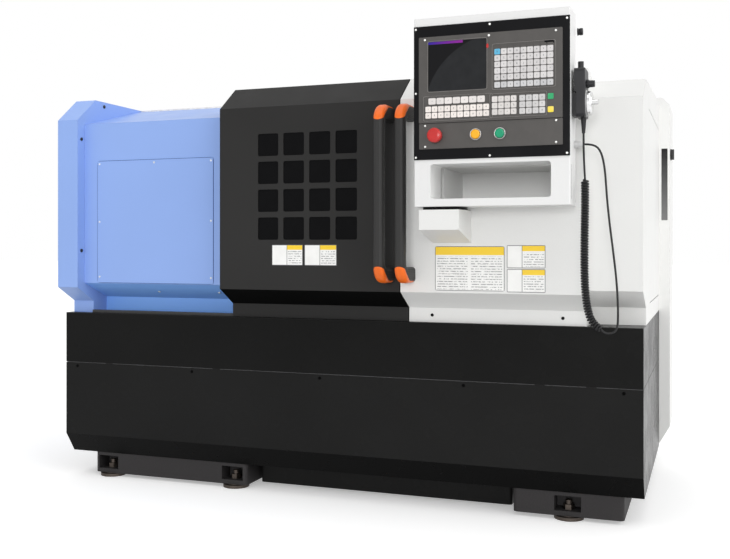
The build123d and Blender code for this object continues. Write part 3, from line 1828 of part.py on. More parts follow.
with BuildPart() as cord_tail:
    tube_along(tail_route, bend_radii(tail_route), cord_radius)
cord_tail.part.label = "cord_tail"
export_step(cord_tail.part, "parts/cord_tail.step")

with BuildPart() as cord_coil:
    tube_along(coil_route, bend_radii(coil_route), coil_radius)
cord_coil.part.label = "cord_coil"
export_step(cord_coil.part, "parts/cord_coil.step")

with BuildPart() as cord_lead:
    tube_along(lead_route, bend_radii(lead_route), cord_radius)
cord_lead.part.label = "cord_lead"
export_step(cord_lead.part, "parts/cord_lead.step")

for name, route in (("tail", tail_route), ("coil", coil_route), ("lead", lead_route)):
    print(name, "arc radii", [round(radius) for radius in bend_radii(route)])
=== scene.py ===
"""The looks of a turning lathe in a sheet-metal enclosure: paint, steel, keys, plates and cord.

Lengths are in metres. place() turns a point of the machine, in millimetres from the left end
and the front of the base, into the frame.
"""
import json
import math

import bpy
import numpy as np
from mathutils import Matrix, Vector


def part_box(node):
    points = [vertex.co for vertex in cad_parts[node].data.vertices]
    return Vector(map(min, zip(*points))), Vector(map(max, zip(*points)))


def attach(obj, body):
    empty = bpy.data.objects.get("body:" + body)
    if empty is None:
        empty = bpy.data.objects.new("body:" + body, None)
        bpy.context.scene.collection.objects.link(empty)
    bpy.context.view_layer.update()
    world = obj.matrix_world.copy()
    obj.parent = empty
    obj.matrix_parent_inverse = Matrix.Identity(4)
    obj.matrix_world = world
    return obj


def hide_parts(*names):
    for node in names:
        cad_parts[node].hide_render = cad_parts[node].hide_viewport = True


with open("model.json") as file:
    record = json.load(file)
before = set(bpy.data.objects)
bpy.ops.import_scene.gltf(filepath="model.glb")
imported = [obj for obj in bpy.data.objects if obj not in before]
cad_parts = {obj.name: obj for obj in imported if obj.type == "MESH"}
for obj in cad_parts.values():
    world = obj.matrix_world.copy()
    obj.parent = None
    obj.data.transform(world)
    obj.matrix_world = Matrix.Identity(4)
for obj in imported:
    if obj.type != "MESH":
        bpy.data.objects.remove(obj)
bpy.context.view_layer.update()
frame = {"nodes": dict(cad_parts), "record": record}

MM = 0.001
BASE_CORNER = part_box("lower_apron")[0]
UNIT_LOW, UNIT_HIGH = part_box("cnc_unit")
PLATE_LOW, PLATE_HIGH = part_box("console_plate")
STRIP_LOW, STRIP_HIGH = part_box("operator_panel")
HOUSING_LOW, HOUSING_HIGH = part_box("console_housing")
SCREEN_LOW, SCREEN_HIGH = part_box("cnc_screen")
# The operator panel's face, behind the collars of its buttons
STRIP_FACE = STRIP_LOW.y + 5 * MM


def place(x, y, z):
    """A point of the machine, in millimetres, as metres in the frame."""
    return (BASE_CORNER.x + x * MM, BASE_CORNER.y + y * MM, z * MM)


def middle(node):
    """The middle of a node's box."""
    return tuple((a + b) / 2 for a, b in zip(*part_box(node)))


# Camera at the photograph's angle: level, to the right of the machine, turned 20 degrees left
IMAGE_WIDTH = 730
FOCAL_PIXELS = 953
HORIZON_RISE = 33.5
SENSOR = 36.0
CAMERA_PLACE = (2185, -2858, 827)
CAMERA_TURN = 20


def in_scene(name, data):
    """A new object with its data, in the scene."""
    item = bpy.data.objects.new(name, data)
    bpy.context.scene.collection.objects.link(item)
    return item


def add_camera():
    """A camera whose lens and shift follow from the focal length and the horizon in pixels."""
    data = bpy.data.cameras.new("camera")
    data.sensor_width = SENSOR
    data.lens = SENSOR * FOCAL_PIXELS / IMAGE_WIDTH
    data.shift_y = -HORIZON_RISE / IMAGE_WIDTH
    camera = in_scene("camera", data)
    camera.location = place(*CAMERA_PLACE)
    camera.rotation_euler = (math.pi / 2, 0, math.radians(CAMERA_TURN))
    bpy.context.scene.camera = camera


add_camera()


# Meshes from arrays
def make_object(name, vertices, faces, smooth=True):
    """An object at the origin from an array of vertices and a list of index rows."""
    mesh = bpy.data.meshes.new(name)
    mesh.from_pydata(np.asarray(vertices, float).reshape(-1, 3).tolist(), [], faces)
    mesh.validate()
    mesh.polygons.foreach_set("use_smooth", np.full(len(mesh.polygons), smooth))
    mesh.update()
    return in_scene(name, mesh)


def grid_faces(rows, columns, wrap_rows=False, wrap_columns=False):
    """Quads between neighbours of a grid of rows by columns, as an index array."""
    r = np.arange(rows if wrap_rows else rows - 1)
    c = np.arange(columns if wrap_columns else columns - 1)
    r, c = np.meshgrid(r, c, indexing="ij")
    r2, c2 = (r + 1) % rows, (c + 1) % columns
    quads = np.stack([r * columns + c, r * columns + c2, r2 * columns + c2, r2 * columns + c], -1)
    return quads.reshape(-1, 4)


def repeated(faces, count, size):
    """The same faces for count copies whose vertices follow each other, size by size."""
    shift = np.arange(count)[:, None, None] * size
    return (np.asarray(faces)[None] + shift).reshape(-1, np.asarray(faces).shape[1])


def outline(count, power):
    """Points of a superellipse: |x|^power + |z|^power = 1, run once round."""
    t = (np.arange(count) + 0.5) * 2 * math.pi / count
    c, s = np.cos(t), np.sin(t)
    return np.sign(c) * np.abs(c) ** (2 / power), np.sign(s) * np.abs(s) ** (2 / power)


def pads(name, centres, halves, rise, inset, power=6, count=16):
    """Low pads on a front that faces -Y: for each centre, three superellipse rings rise from
    the front to the face, the last drawn in by inset, and a flat face closes them."""
    centres = np.asarray(centres, float)
    halves = np.broadcast_to(np.asarray(halves, float), (len(centres), 2))
    x, z = outline(count, power)
    depth = np.array([0.0, -rise + inset, -rise])
    draw_in = np.array([0.0, 0.0, inset])
    half_x = (halves[:, 0, None] - draw_in)[:, :, None]
    half_z = (halves[:, 1, None] - draw_in)[:, :, None]
    rings = np.empty((len(centres), 3, count, 3))
    rings[..., 0] = centres[:, 0, None, None] + half_x * x
    rings[..., 1] = centres[:, 1, None, None] + depth[None, :, None]
    rings[..., 2] = centres[:, 2, None, None] + half_z * z
    side = repeated(grid_faces(3, count, wrap_columns=True)[:, ::-1], len(centres), 3 * count)
    lids = np.arange(2 * count, 3 * count)[None] + np.arange(len(centres))[:, None] * 3 * count
    backs = np.arange(count)[None, ::-1] + np.arange(len(centres))[:, None] * 3 * count
    faces = side.tolist() + lids[:, ::-1].tolist() + backs[:, ::-1].tolist()
    return make_object(name, rings, faces, smooth=False)


# Turned pieces, in millimetres: the radii and heights of the profile, and the points round it
HEAD_RADII = np.array([5.0, 5.0, 4.4, 2.4, 2.1, 1.9])
HEAD_HEIGHTS = np.array([0, 0.8, 2.0, 2.5, 2.5, 1.3])
SMALL_HEAD = 0.68
PROFILES = {
    "base_screw_heads": (HEAD_RADII, HEAD_HEIGHTS, 20),
    "bevel_screw_heads": (HEAD_RADII, HEAD_HEIGHTS, 20),
    "panel_screw_heads": (SMALL_HEAD * HEAD_RADII, SMALL_HEAD * HEAD_HEIGHTS, 20),
    "console_screws": ([3.4, 3.4, 2.8, 1.5, 1.2, 1.1], [0, 0.7, 1.6, 2.0, 2.0, 1.0], 14),
    "button_rings": ([16.6, 16.6, 16.0, 14.4, 13.6, 13.6], [0.0, 4.6, 5.4, 5.5, 5.0, 4.2], 40),
    "swivel_ring": ([65.4, 65.4], [0.3, 8.4], 64),
    "console_side_port": (
        [11, 11, 9.5, 9.5, 10.5, 10.5, 9.6, 3], [0, 2.5, 3.2, 6, 6.6, 14, 15.4, 15.6], 8
    ),
    "end_cover_plugs": ([6, 6, 4.5, 1], [0, 2.5, 4, 4.2], 16),
    "console_side_seam": ([1.6, 1.6, 1.2], [0, 0.25, 0.35], 8),
    "pendant_dial": ([37, 37, 36, 35], [0, 0.5, 0.8, 0.85], 48),
}


def turned_heads(name, centres, direction=(0, -1, 0)):
    """The same turned form at each centre: a profile of radius and height, spun about direction."""
    radii, heights, count = PROFILES[name]
    axis = np.asarray(direction, float)
    side = np.cross(axis, (0, 0, 1)) if abs(axis[2]) < 0.9 else np.array([1.0, 0, 0])
    side /= np.linalg.norm(side)
    other = np.cross(axis, side)
    t = np.arange(count) * 2 * math.pi / count
    ring = np.cos(t)[:, None] * side + np.sin(t)[:, None] * other
    radii, heights = np.array(radii) * MM, np.array(heights) * MM
    form = radii[:, None, None] * ring + heights[:, None, None] * axis
    vertices = np.asarray(centres, float)[:, None, None, :] + form[None]
    size = len(radii) * count
    sides = repeated(grid_faces(len(radii), count, wrap_columns=True), len(centres), size)
    starts = np.arange(len(centres))[:, None] * size
    lids = (starts + np.arange(size - count, size)).tolist()
    backs = (starts + np.arange(count)[::-1]).tolist()
    piece = make_object(name, vertices, sides.tolist() + lids + backs)
    piece.data.shade_smooth()
    return piece


def frames_round(name, centres, halves, width, rise, power, count=48):
    """Raised frames on a front that faces -Y: the outline is carried through four rings, outer
    foot, outer top, inner top and inner foot, which close on themselves."""
    centres, halves = np.asarray(centres, float), np.asarray(halves, float)
    x, z = outline(count, power)
    grow = np.array([width / 2, width / 2, -width / 2, -width / 2])
    depth = np.array([0.0, -rise, -rise, 0.0])
    rings = np.empty((len(centres), 4, count, 3))
    rings[..., 0] = centres[:, 0, None, None] + (halves[:, 0, None] + grow)[:, :, None] * x
    rings[..., 1] = centres[:, 1, None, None] + depth[None, :, None]
    rings[..., 2] = centres[:, 2, None, None] + (halves[:, 1, None] + grow)[:, :, None] * z
    faces = grid_faces(4, count, wrap_rows=True, wrap_columns=True)[:, ::-1]
    return make_object(name, rings, repeated(faces, len(centres), 4 * count).tolist(), smooth=False)


def thicken(sheet, thickness, even=False):
    """A sheet's wall, laid inwards. An even wall keeps its thickness over folds."""
    wall = sheet.modifiers.new("wall", "SOLIDIFY")
    wall.thickness = thickness
    wall.offset = -1
    wall.use_even_offset = even


def curve_mesh(data):
    """The points and the polygons of a curve or a text made into a mesh."""
    holder = bpy.data.objects.new("holder", data)
    mesh = bpy.data.meshes.new_from_object(holder)
    points = np.empty(len(mesh.vertices) * 3)
    mesh.vertices.foreach_get("co", points)
    polygons = [list(polygon.vertices) for polygon in mesh.polygons]
    bpy.data.objects.remove(holder)
    bpy.data.meshes.remove(mesh)
    return points.reshape(-1, 3), polygons


def dress(piece, body, slot, material=None):
    """The piece rides on a body and takes a material, or else the finish that the slot names."""
    piece.data.materials.clear()
    piece.data.materials.append(material or finishes[slot])
    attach(piece, body)


# Materials
def wire(tree, kind, settings=None, **sockets):
    """A node with its settings and its inputs, each input a value or another node's output. An
    input goes by its name, or by its number as i0, i1 and so on."""
    node = tree.nodes.new(kind)
    for key, value in (settings or {}).items():
        setattr(node, key, value)
    for key, value in sockets.items():
        numbered = key[0] == "i" and key[1:].isdigit()
        socket = node.inputs[int(key[1:]) if numbered else key]
        if isinstance(value, bpy.types.NodeSocket):
            tree.links.new(value, socket)
        else:
            socket.default_value = value
    return node


def maths(tree, operation, *values):
    """The result of a Math node on values or on other nodes' outputs."""
    sockets = {f"i{index}": value for index, value in enumerate(values)}
    return wire(tree, "ShaderNodeMath", {"operation": operation}, **sockets).outputs[0]


def started(name):
    """A new material, its node tree, its shader and its Object coordinates."""
    material = bpy.data.materials.new(name)
    material.use_nodes = True
    tree = material.node_tree
    where = wire(tree, "ShaderNodeTexCoord").outputs["Object"]
    return material, tree, tree.nodes["Principled BSDF"], where


def noise(tree, where, scale, detail=3.0):
    """A noise pattern of values round a half."""
    return wire(
        tree, "ShaderNodeTexNoise", Vector=where, Scale=scale, Detail=detail, Roughness=0.5
    ).outputs["Fac"]


def ranged(tree, value, low, high, start=0.3, end=0.7):
    """A value between start and end, carried over to between low and high."""
    node = wire(tree, "ShaderNodeMapRange", Value=value)
    for key, number in (("From Min", start), ("From Max", end), ("To Min", low), ("To Max", high)):
        node.inputs[key].default_value = number
    return node.outputs["Result"]


def mixed(tree, share, first, second):
    """Two colours mixed by the share of the second."""
    node = wire(tree, "ShaderNodeMix", {"data_type": "RGBA"}, i0=share)
    for key, value in ((6, first), (7, second)):
        if isinstance(value, bpy.types.NodeSocket):
            tree.links.new(value, node.inputs[key])
        else:
            node.inputs[key].default_value = (*value, 1) if len(value) == 3 else value
    return node.outputs[2]


def bumped(tree, shader, height, distance, edge=0.0):
    """Bump from a height in metres, over edges rounded by the edge radius."""
    bump = wire(tree, "ShaderNodeBump", Height=height, Distance=distance)
    if edge:
        rounded = wire(tree, "ShaderNodeBevel", {"samples": 3}, Radius=edge)
        tree.links.new(rounded.outputs["Normal"], bump.inputs["Normal"])
    tree.links.new(bump.outputs["Normal"], shader.inputs["Normal"])


def surface(tree, shader, colour, gloss, shine=0.5):
    """Colour and roughness from nodes, and the specular level as a number."""
    tree.links.new(colour, shader.inputs["Base Color"])
    tree.links.new(gloss, shader.inputs["Roughness"])
    shader.inputs["Specular IOR Level"].default_value = shine


def between(tree, where, low, high):
    """One where a point lies between two corners, else nought: the product of six tests."""
    split = wire(tree, "ShaderNodeSeparateXYZ", Vector=where)
    inside = 1.0
    for axis, start, end in zip("XYZ", low, high):
        for operation, limit in (("GREATER_THAN", start), ("LESS_THAN", end)):
            test = maths(tree, operation, split.outputs[axis], limit)
            inside = maths(tree, "MULTIPLY", inside, test)
    return inside


def shade(colour, factor):
    """A colour times a factor, no channel over one."""
    return tuple(min(1.0, c * factor) for c in colour)


def clouded(tree, value, colour, low, high):
    """A colour times a factor between low and high that follows a value."""
    return mixed(tree, ranged(tree, value, 0, 1), shade(colour, low), shade(colour, high))


def powder_coat(
    name, colour, roughness=0.42, spread=0.05, peel=650.0, depth=0.00006, edge=0.0014, shine=0.3,
    painted_shading=None,
):
    """Stoved powder coat: a fine orange peel, slow clouds of shade, a slightly uneven gloss. The
    painted shading is a second colour over the coat, on what lies between two corners: painted
    light where it is lighter, painted shade where it is darker."""
    material, tree, shader, where = started(name)
    clouds = noise(tree, where, 2.2, 2.0)
    fine = noise(tree, where, peel, 2.0)
    tint = clouded(tree, clouds, colour, 1 - spread, 1 + spread)
    speck = mixed(tree, ranged(tree, fine, 0, 0.25), tint, shade(colour, 0.82))
    if painted_shading:
        low, high, second = painted_shading
        speck = mixed(tree, between(tree, where, low, high), speck, second)
    uneven = noise(tree, where, 9.0, 3.0)
    gloss = ranged(tree, uneven, roughness - 0.05, roughness + 0.06)
    surface(tree, shader, speck, gloss, shine)
    bumped(tree, shader, fine, depth, edge)
    return material


def textured_coat(name, colour, light, roughness=0.55, grain=420.0, depth=0.00016):
    """Textured paint: a leathery grain whose tops catch a lighter shade."""
    material, tree, shader, where = started(name)
    cells = wire(tree, "ShaderNodeTexVoronoi", Vector=where, Scale=grain).outputs["Distance"]
    clouds = noise(tree, where, 3.0, 3.0)
    base = clouded(tree, clouds, colour, 1, 1.25)
    tops = mixed(tree, ranged(tree, cells, 0, 0.5, 0.2, 0.8), base, light)
    gloss = ranged(tree, clouds, roughness - 0.06, roughness + 0.08)
    surface(tree, shader, tops, gloss, 0.25)
    bumped(tree, shader, cells, depth, 0.0014)
    return material


def machined(name, colour, roughness=0.3, stretch=(6.0, 300.0, 300.0), edge=0.0008):
    """Cut steel or iron: fine lines along the feed, darker where they are deep, a little stain."""
    material, tree, shader, where = started(name)
    mapping = wire(tree, "ShaderNodeMapping", Vector=where)
    mapping.inputs["Scale"].default_value = stretch
    lines = noise(tree, mapping.outputs["Vector"], 1.0, 4.0)
    stain = noise(tree, where, 14.0, 4.0)
    base = clouded(tree, lines, colour, 0.8, 1.15)
    dull = mixed(tree, ranged(tree, stain, 0, 0.35, 0.5, 0.8), base, shade(colour, 0.6))
    shader.inputs["Metallic"].default_value = 1.0
    gloss = ranged(tree, lines, roughness - 0.06, roughness + 0.1)
    surface(tree, shader, dull, gloss)
    bumped(tree, shader, lines, 0.00002, edge)
    return material


def moulded(
    name, colour, roughness=0.4, grain=1500.0, depth=0.00003, coat=0.0, edge=0.0006, shine=0.3
):
    """Moulded plastic or rubber: a spark-eroded grain and small changes of gloss."""
    material, tree, shader, where = started(name)
    fine = noise(tree, where, grain, 2.0)
    clouds = noise(tree, where, 25.0, 2.0)
    tint = clouded(tree, clouds, colour, 0.92, 1.08)
    gloss = ranged(tree, clouds, roughness - 0.04, roughness + 0.05)
    surface(tree, shader, tint, gloss, shine)
    shader.inputs["Coat Weight"].default_value = coat
    shader.inputs["Coat Roughness"].default_value = 0.08
    bumped(tree, shader, fine, depth, edge)
    return material


def ribbed_grip(name, colour):
    """Soft black grip: shallow ribs a few millimetres apart, dulled by a fine grain."""
    material, tree, shader, where = started(name)
    ribs = wire(
        tree, "ShaderNodeTexWave", {"bands_direction": "Z"},
        Vector=where, Scale=60.0, Distortion=0.4,
    ).outputs["Fac"]
    fine = noise(tree, where, 900.0, 2.0)
    tint = clouded(tree, fine, colour, 0.8, 1.3)
    surface(tree, shader, tint, ranged(tree, ribs, 0.42, 0.55, 0, 1), 0.3)
    bumped(tree, shader, ribs, 0.00015)
    return material


def height_split(name, height, lower, upper, roughness=0.35):
    """Steel parts of one kind with one colour under a height and another over it."""
    material, tree, shader, where = started(name)
    z = wire(tree, "ShaderNodeSeparateXYZ", Vector=where).outputs["Z"]
    over = ranged(tree, z, 0, 1, height - 0.001, height + 0.001)
    stain = noise(tree, where, 60.0, 3.0)
    dark = clouded(tree, stain, lower, 0.85, 1.15)
    light = clouded(tree, stain, upper, 0.88, 1.1)
    tree.links.new(over, shader.inputs["Metallic"])
    gloss = ranged(tree, stain, roughness - 0.05, roughness + 0.1)
    surface(tree, shader, mixed(tree, over, dark, light), gloss)
    bumped(tree, shader, stain, 0.00003, 0.0008)
    return material


def fading_black(name, low, high, dark, light):
    """A shaded recess: light at its foot, fading upwards to dark."""
    material, tree, shader, where = started(name)
    z = wire(tree, "ShaderNodeSeparateXYZ", Vector=where).outputs["Z"]
    grain = noise(tree, where, 90.0, 3.0)
    uneven = maths(tree, "MULTIPLY_ADD", grain, 0.02, z)
    share = ranged(tree, uneven, 0, 1, low, high)
    tint = mixed(tree, share, light, dark)
    surface(tree, shader, tint, ranged(tree, grain, 0.5, 0.65), 0.2)
    bumped(tree, shader, grain, 0.00003)
    return material


def tinted_keys(name):
    """Membrane keys: each key's own tint, paler worn patches and a soft grain."""
    material, tree, shader, where = started(name)
    tint = wire(tree, "ShaderNodeAttribute", {"attribute_name": "tint"}).outputs["Color"]
    wear = noise(tree, where, 35.0, 3.0)
    worn = mixed(tree, ranged(tree, wear, 0, 0.25, 0.45, 0.75), tint, (0.9, 0.86, 0.82))
    surface(tree, shader, worn, ranged(tree, wear, 0.38, 0.5))
    bumped(tree, shader, noise(tree, where, 1200.0, 2.0), 0.00002)
    return material


# Printed plates: width of the dark lines, pitch of the grey rules and margin over and under them
LINE_WIDTH = 1.8 * MM
RULE_PITCH = 7.5 * MM
RULE_MARGIN = 4 * MM


def banded_plate(name, box, header, header_start, columns):
    """A printed plate: a white field, a coloured strip along the top and grey rules in columns.

    The strip is where the height is over the header line, right of where it starts. The rules
    are a sine of the height, cut off at the sides of each column. A dark line runs round the
    plate and down at the start of the strip."""
    left, right, low, high = box
    material, tree, shader, where = started(name)
    split = wire(tree, "ShaderNodeSeparateXYZ", Vector=where)
    x, z = split.outputs["X"], split.outputs["Z"]

    def over(value, limit):
        return maths(tree, "GREATER_THAN", value, limit)

    def times(a, b):
        return maths(tree, "MULTIPLY", a, b)

    pitch = (header - low) / max(3, round((header - low) / RULE_PITCH))
    sine = maths(tree, "SINE", times(z, 2 * math.pi / pitch))
    ragged = noise(tree, where, 260.0, 0.0)
    marks = times(over(sine, 0.55), over(ragged, 0.44))
    inside = 0.0
    for start, end in columns:
        inside = maths(tree, "ADD", inside, times(over(x, start), over(end, x)))
    below = times(over(header - RULE_MARGIN, z), over(z, low + RULE_MARGIN))
    ink = times(times(marks, inside), below)
    clouds = ranged(tree, noise(tree, where, 30.0), 0, 1)
    field = mixed(tree, clouds, (0.86, 0.86, 0.84), (0.92, 0.92, 0.9))
    printed = mixed(tree, ink, field, (0.25, 0.25, 0.26))
    strip = times(over(z, header), over(x, header_start))
    full = mixed(tree, strip, printed, (0.92, 0.62, 0.02))
    field_x = times(over(x, left + LINE_WIDTH), over(right - LINE_WIDTH, x))
    field_z = times(over(z, low + LINE_WIDTH), over(high - LINE_WIDTH, z))
    half_line = LINE_WIDTH / 2
    beside = times(over(x, header_start - half_line), over(header_start + half_line, x))
    open_field = times(times(field_x, field_z), over(0.5, beside))
    ruled = mixed(tree, open_field, (0.12, 0.12, 0.13), full)
    surface(tree, shader, ruled, ranged(tree, noise(tree, where, 20.0), 0.3, 0.42))
    return material


# Screen: middle of the painted reflection's edge from the lower left corner, its radius, and
# the bar's size
REFLECTION_MIDDLE = (206.6 * MM, -65.8 * MM)
REFLECTION_RADIUS = 219.4 * MM
BAR_HEIGHT = 7.5 * MM
BAR_LENGTH = 102 * MM


def screen_glass(name, low, high):
    """A dark screen: near black, a plain coloured bar at its top and a slightly lighter painted
    reflection whose edge is an arc about a point below its lower right corner."""
    material, tree, shader, where = started(name)
    centre = (low.x + REFLECTION_MIDDLE[0], 0.0, low.z + REFLECTION_MIDDLE[1])
    flat = wire(
        tree, "ShaderNodeVectorMath", {"operation": "MULTIPLY"}, i0=where, i1=(1, 0, 1)
    ).outputs[0]
    away = wire(
        tree, "ShaderNodeVectorMath", {"operation": "DISTANCE"}, i0=flat, i1=centre
    ).outputs["Value"]
    # Painted reflection: inside the arc the screen is a little lighter, with an uneven tint
    reflection_share = ranged(tree, away, 1, 0, REFLECTION_RADIUS - MM, REFLECTION_RADIUS + MM)
    smear_and_reflection = noise(tree, where, 40.0, 3.0)
    reflection_tint = mixed(tree, ranged(tree, smear_and_reflection, 0, 1), (0.015, 0.016, 0.0175), (0.020, 0.021, 0.023))
    base = mixed(tree, reflection_share, (0.004, 0.004, 0.005), reflection_tint)
    split = wire(tree, "ShaderNodeSeparateXYZ", Vector=where)
    x, z = split.outputs["X"], split.outputs["Z"]
    top = ranged(tree, z, 0, 1, high.z - BAR_HEIGHT, high.z - BAR_HEIGHT + 0.5 * MM)
    along = ranged(tree, x, 0, 1, low.x, low.x + 90 * MM)
    bar = mixed(tree, along, (0.03, 0.02, 0.32), (0.25, 0.02, 0.3))
    left = ranged(tree, x, 1, 0, low.x + BAR_LENGTH - 2 * MM, low.x + BAR_LENGTH)
    shown = maths(tree, "MULTIPLY", top, left)
    tint = mixed(tree, shown, base, bar)
    surface(tree, shader, tint, ranged(tree, smear_and_reflection, 0.12, 0.18), 0.15)
    return material


BLUE = (0.275, 0.415, 0.80)
# Painted light: a brighter, more saturated blue on the headstock cover's down-facing fold and sill
FOOT_PAINTED_LIGHT_BLUE = (0.23, 0.46, 0.95)
WHITE = (0.80, 0.80, 0.785)
# Painted light: a brighter white for the inside of the pockets in the console and the hood
POCKET_PAINTED_LIGHT_WHITE = (0.95, 0.95, 0.94)
BASE_BLACK = (0.014, 0.014, 0.0138)
UPPER_BLACK = (0.0095, 0.0095, 0.0093)
# Near black: painted shade on the folded feet of the door and the base, and the own colour of the
# black-oxide screws
FOLD_SHADE_AND_OXIDE_BLACK = (0.001, 0.001, 0.001)

# Boxes of what gets painted light and shade over its coat: painted light in the pocket of
# console and hood, a brighter painted blue on the fold at the feet of the covers, and painted
# shade on the folds at the feet of the door and the base
CONSOLE_POCKET = (place(1424, -226, 960), place(1772, 40, 1060.4))
HOOD_POCKET = (place(1424, -75.5, 960), place(1772, 160, 1060.4))
COVER_FOLD = (place(0, -21, 560), place(1000, 200, 695.3))
DOOR_FOLD = (place(600, -78.5, 634.5), place(1450, 150, 685.5))
BASE_FOLD = (place(-1, -1, 84), place(2001, 60, 154.5))


def base_coat(name, colour, painted_shading=None):
    """The smooth, nearly matt black of the base."""
    return powder_coat(name, colour, 0.26, 0.1, 500.0, shine=0.05, painted_shading=painted_shading)


finishes = {
    "cast_base": textured_coat(
        "cast_base", (0.021, 0.0195, 0.020), (0.036, 0.033, 0.034), 0.6, 260.0
    ),
    "base_paint": base_coat("base_paint", BASE_BLACK),
    "bed_iron": machined("bed_iron", (0.36, 0.36, 0.355), 0.34),
    "headstock_paint": textured_coat("headstock_paint", (0.42, 0.43, 0.42), (0.5, 0.51, 0.5)),
    "motor_paint": textured_coat("motor_paint", (0.09, 0.12, 0.16), (0.13, 0.16, 0.2)),
    "servo_black": moulded("servo_black", (0.012, 0.012, 0.013), 0.45),
    "zinc_steel": machined("zinc_steel", (0.8, 0.8, 0.78), 0.32, (200.0, 200.0, 200.0)),
    "ground_steel": machined("ground_steel", (0.66, 0.66, 0.65), 0.2, (900.0, 12.0, 12.0)),
    "jaw_steel": machined("jaw_steel", (0.2, 0.2, 0.205), 0.36),
    "rail_steel": machined("rail_steel", (0.42, 0.42, 0.42), 0.3),
    "pulley_iron": machined("pulley_iron", (0.32, 0.32, 0.32), 0.36, (900.0, 12.0, 12.0)),
    "belt_rubber": moulded("belt_rubber", (0.015, 0.015, 0.015), 0.7, 600.0, 0.0001),
    "chrome_rim": machined("chrome_rim", (0.72, 0.72, 0.72), 0.12, (60.0, 60.0, 60.0)),
    "blue_paint": powder_coat("blue_paint", BLUE, 0.38, 0.03),
    # The door's folded foot gets painted shade: near black over the coat
    "door_paint": powder_coat(
        "door_paint", (0.031, 0.0305, 0.030), 0.5, 0.08, 520.0, 0.0001, shine=0.06,
        painted_shading=(*DOOR_FOLD, FOLD_SHADE_AND_OXIDE_BLACK),
    ),
    "white_paint": powder_coat("white_paint", WHITE, 0.4, 0.015),
    "window_pane": moulded("window_pane", (0.004, 0.004, 0.0045), 0.16, 60.0, 0.00002, shine=0.05),
    "grip_black": ribbed_grip("grip_black", (0.02, 0.0195, 0.019)),
    "cap_orange": moulded("cap_orange", (0.86, 0.15, 0.01), 0.34, 900.0, 0.00003, 0.1),
    "switch_black": moulded("switch_black", (0.012, 0.012, 0.013), 0.4),
    "console_black": powder_coat(
        "console_black", (0.004, 0.004, 0.005), 0.2, 0.1, 900.0, 0.00004, shine=0.12
    ),
    "unit_plastic": moulded("unit_plastic", (0.076, 0.071, 0.067), 0.42, 1100.0, 0.00005),
    "screen_glass": screen_glass("screen_glass", SCREEN_LOW, SCREEN_HIGH),
    "estop_red": moulded("estop_red", (0.52, 0.022, 0.02), 0.3, 900.0, 0.00002, 0.2),
    "start_yellow": moulded("start_yellow", (0.92, 0.42, 0.01), 0.22, 400.0, 0.00005, 0.3),
    "stop_green": moulded("stop_green", (0.005, 0.33, 0.16), 0.22, 400.0, 0.00005, 0.3),
    "pendant_plastic": moulded("pendant_plastic", (0.012, 0.012, 0.014), 0.42),
    "cord_black": moulded("cord_black", (0.010, 0.010, 0.011), 0.42, 700.0, 0.00004),
}
own_finishes = {
    # The console's pocket gets painted light: a brighter white over its coat
    "console_housing": powder_coat(
        "console_white", (0.80, 0.80, 0.795), 0.38, 0.012, painted_shading=(*CONSOLE_POCKET, POCKET_PAINTED_LIGHT_WHITE)
    ),
    # The hood's pocket gets painted light: a brighter white over its coat
    "main_hood": powder_coat(
        "hood_white", WHITE, 0.4, 0.015, painted_shading=(*HOOD_POCKET, POCKET_PAINTED_LIGHT_WHITE)
    ),
    # The cover's foot gets painted light: a brighter, more saturated blue over its coat
    "headstock_cover": powder_coat(
        "headstock_blue", BLUE, 0.38, 0.03, painted_shading=(*COVER_FOLD, FOOT_PAINTED_LIGHT_BLUE)
    ),
    "upper_apron": base_coat("upper_base_paint", UPPER_BLACK),
    "cord_gland": moulded("gland_grey", (0.55, 0.55, 0.55), 0.4),
    "levelling_feet": machined("pad_iron", (0.09, 0.075, 0.065), 0.5, (90.0, 90.0, 90.0)),
    "door_rails": height_split("door_rail_steel", 0.8, (0.02, 0.02, 0.02), (0.75, 0.75, 0.75)),
}
node_slots = {row["node"]: row["material_slot"] for row in frame["record"]["subparts"]}
for node_name, node_object in frame["nodes"].items():
    finish = own_finishes.get(node_name, finishes[node_slots[node_name]])
    node_object.data.materials.clear()
    node_object.data.materials.append(finish)

# Cord: from the gland as a lead, back up as a coil, and as a tail into the pendant's boot
CORD_RADIUS = 3.0 * MM
COIL_RADIUS = 9.0 * MM
COIL_PITCH = 7.6 * MM
COIL_EASE = 1.2
TURN_IN = 16 * MM
TURN_POINTS = 12


def nurbs_curve(name, points):
    """A smooth curve whose control points are the given points, its ends on the first and last."""
    data = bpy.data.curves.new(name, "CURVE")
    data.dimensions = "3D"
    spline = data.splines.new("NURBS")
    spline.points.add(len(points) - 1)
    flat = np.hstack([np.asarray(points, float), np.ones((len(points), 1))])
    spline.points.foreach_set("co", flat.ravel())
    spline.order_u = 3
    spline.use_endpoint_u = True
    return data


def read_line(data):
    """The points of a curve with no bevel, in order."""
    data.resolution_u = 12
    return curve_mesh(data)[0]


def helix_along(line, radius, pitch, per_turn):
    """Points round a line: the angle grows with the length run, and the radius swells from the
    line over a little more than the first and the last turn."""
    steps = np.linalg.norm(np.diff(line, axis=0), axis=1)
    run = np.concatenate([[0], np.cumsum(steps)])
    turns = run[-1] / pitch
    count = int(turns * per_turn)
    s = np.linspace(0, run[-1], count)
    centre = np.stack([np.interp(s, run, line[:, k]) for k in range(3)], 1)
    tangent = np.gradient(centre, axis=0)
    tangent /= np.linalg.norm(tangent, axis=1)[:, None]
    side = np.cross(tangent, (0.0, 1.0, 0.0))
    side /= np.linalg.norm(side, axis=1)[:, None]
    other = np.cross(tangent, side)
    angle = 2 * math.pi * s / pitch
    ease = np.clip(np.minimum(s, run[-1] - s) / (COIL_EASE * pitch), 0, 1)
    swell = radius * ease * ease * (3 - 2 * ease)
    outward = np.cos(angle)[:, None] * side + np.sin(angle)[:, None] * other
    return centre + swell[:, None] * outward


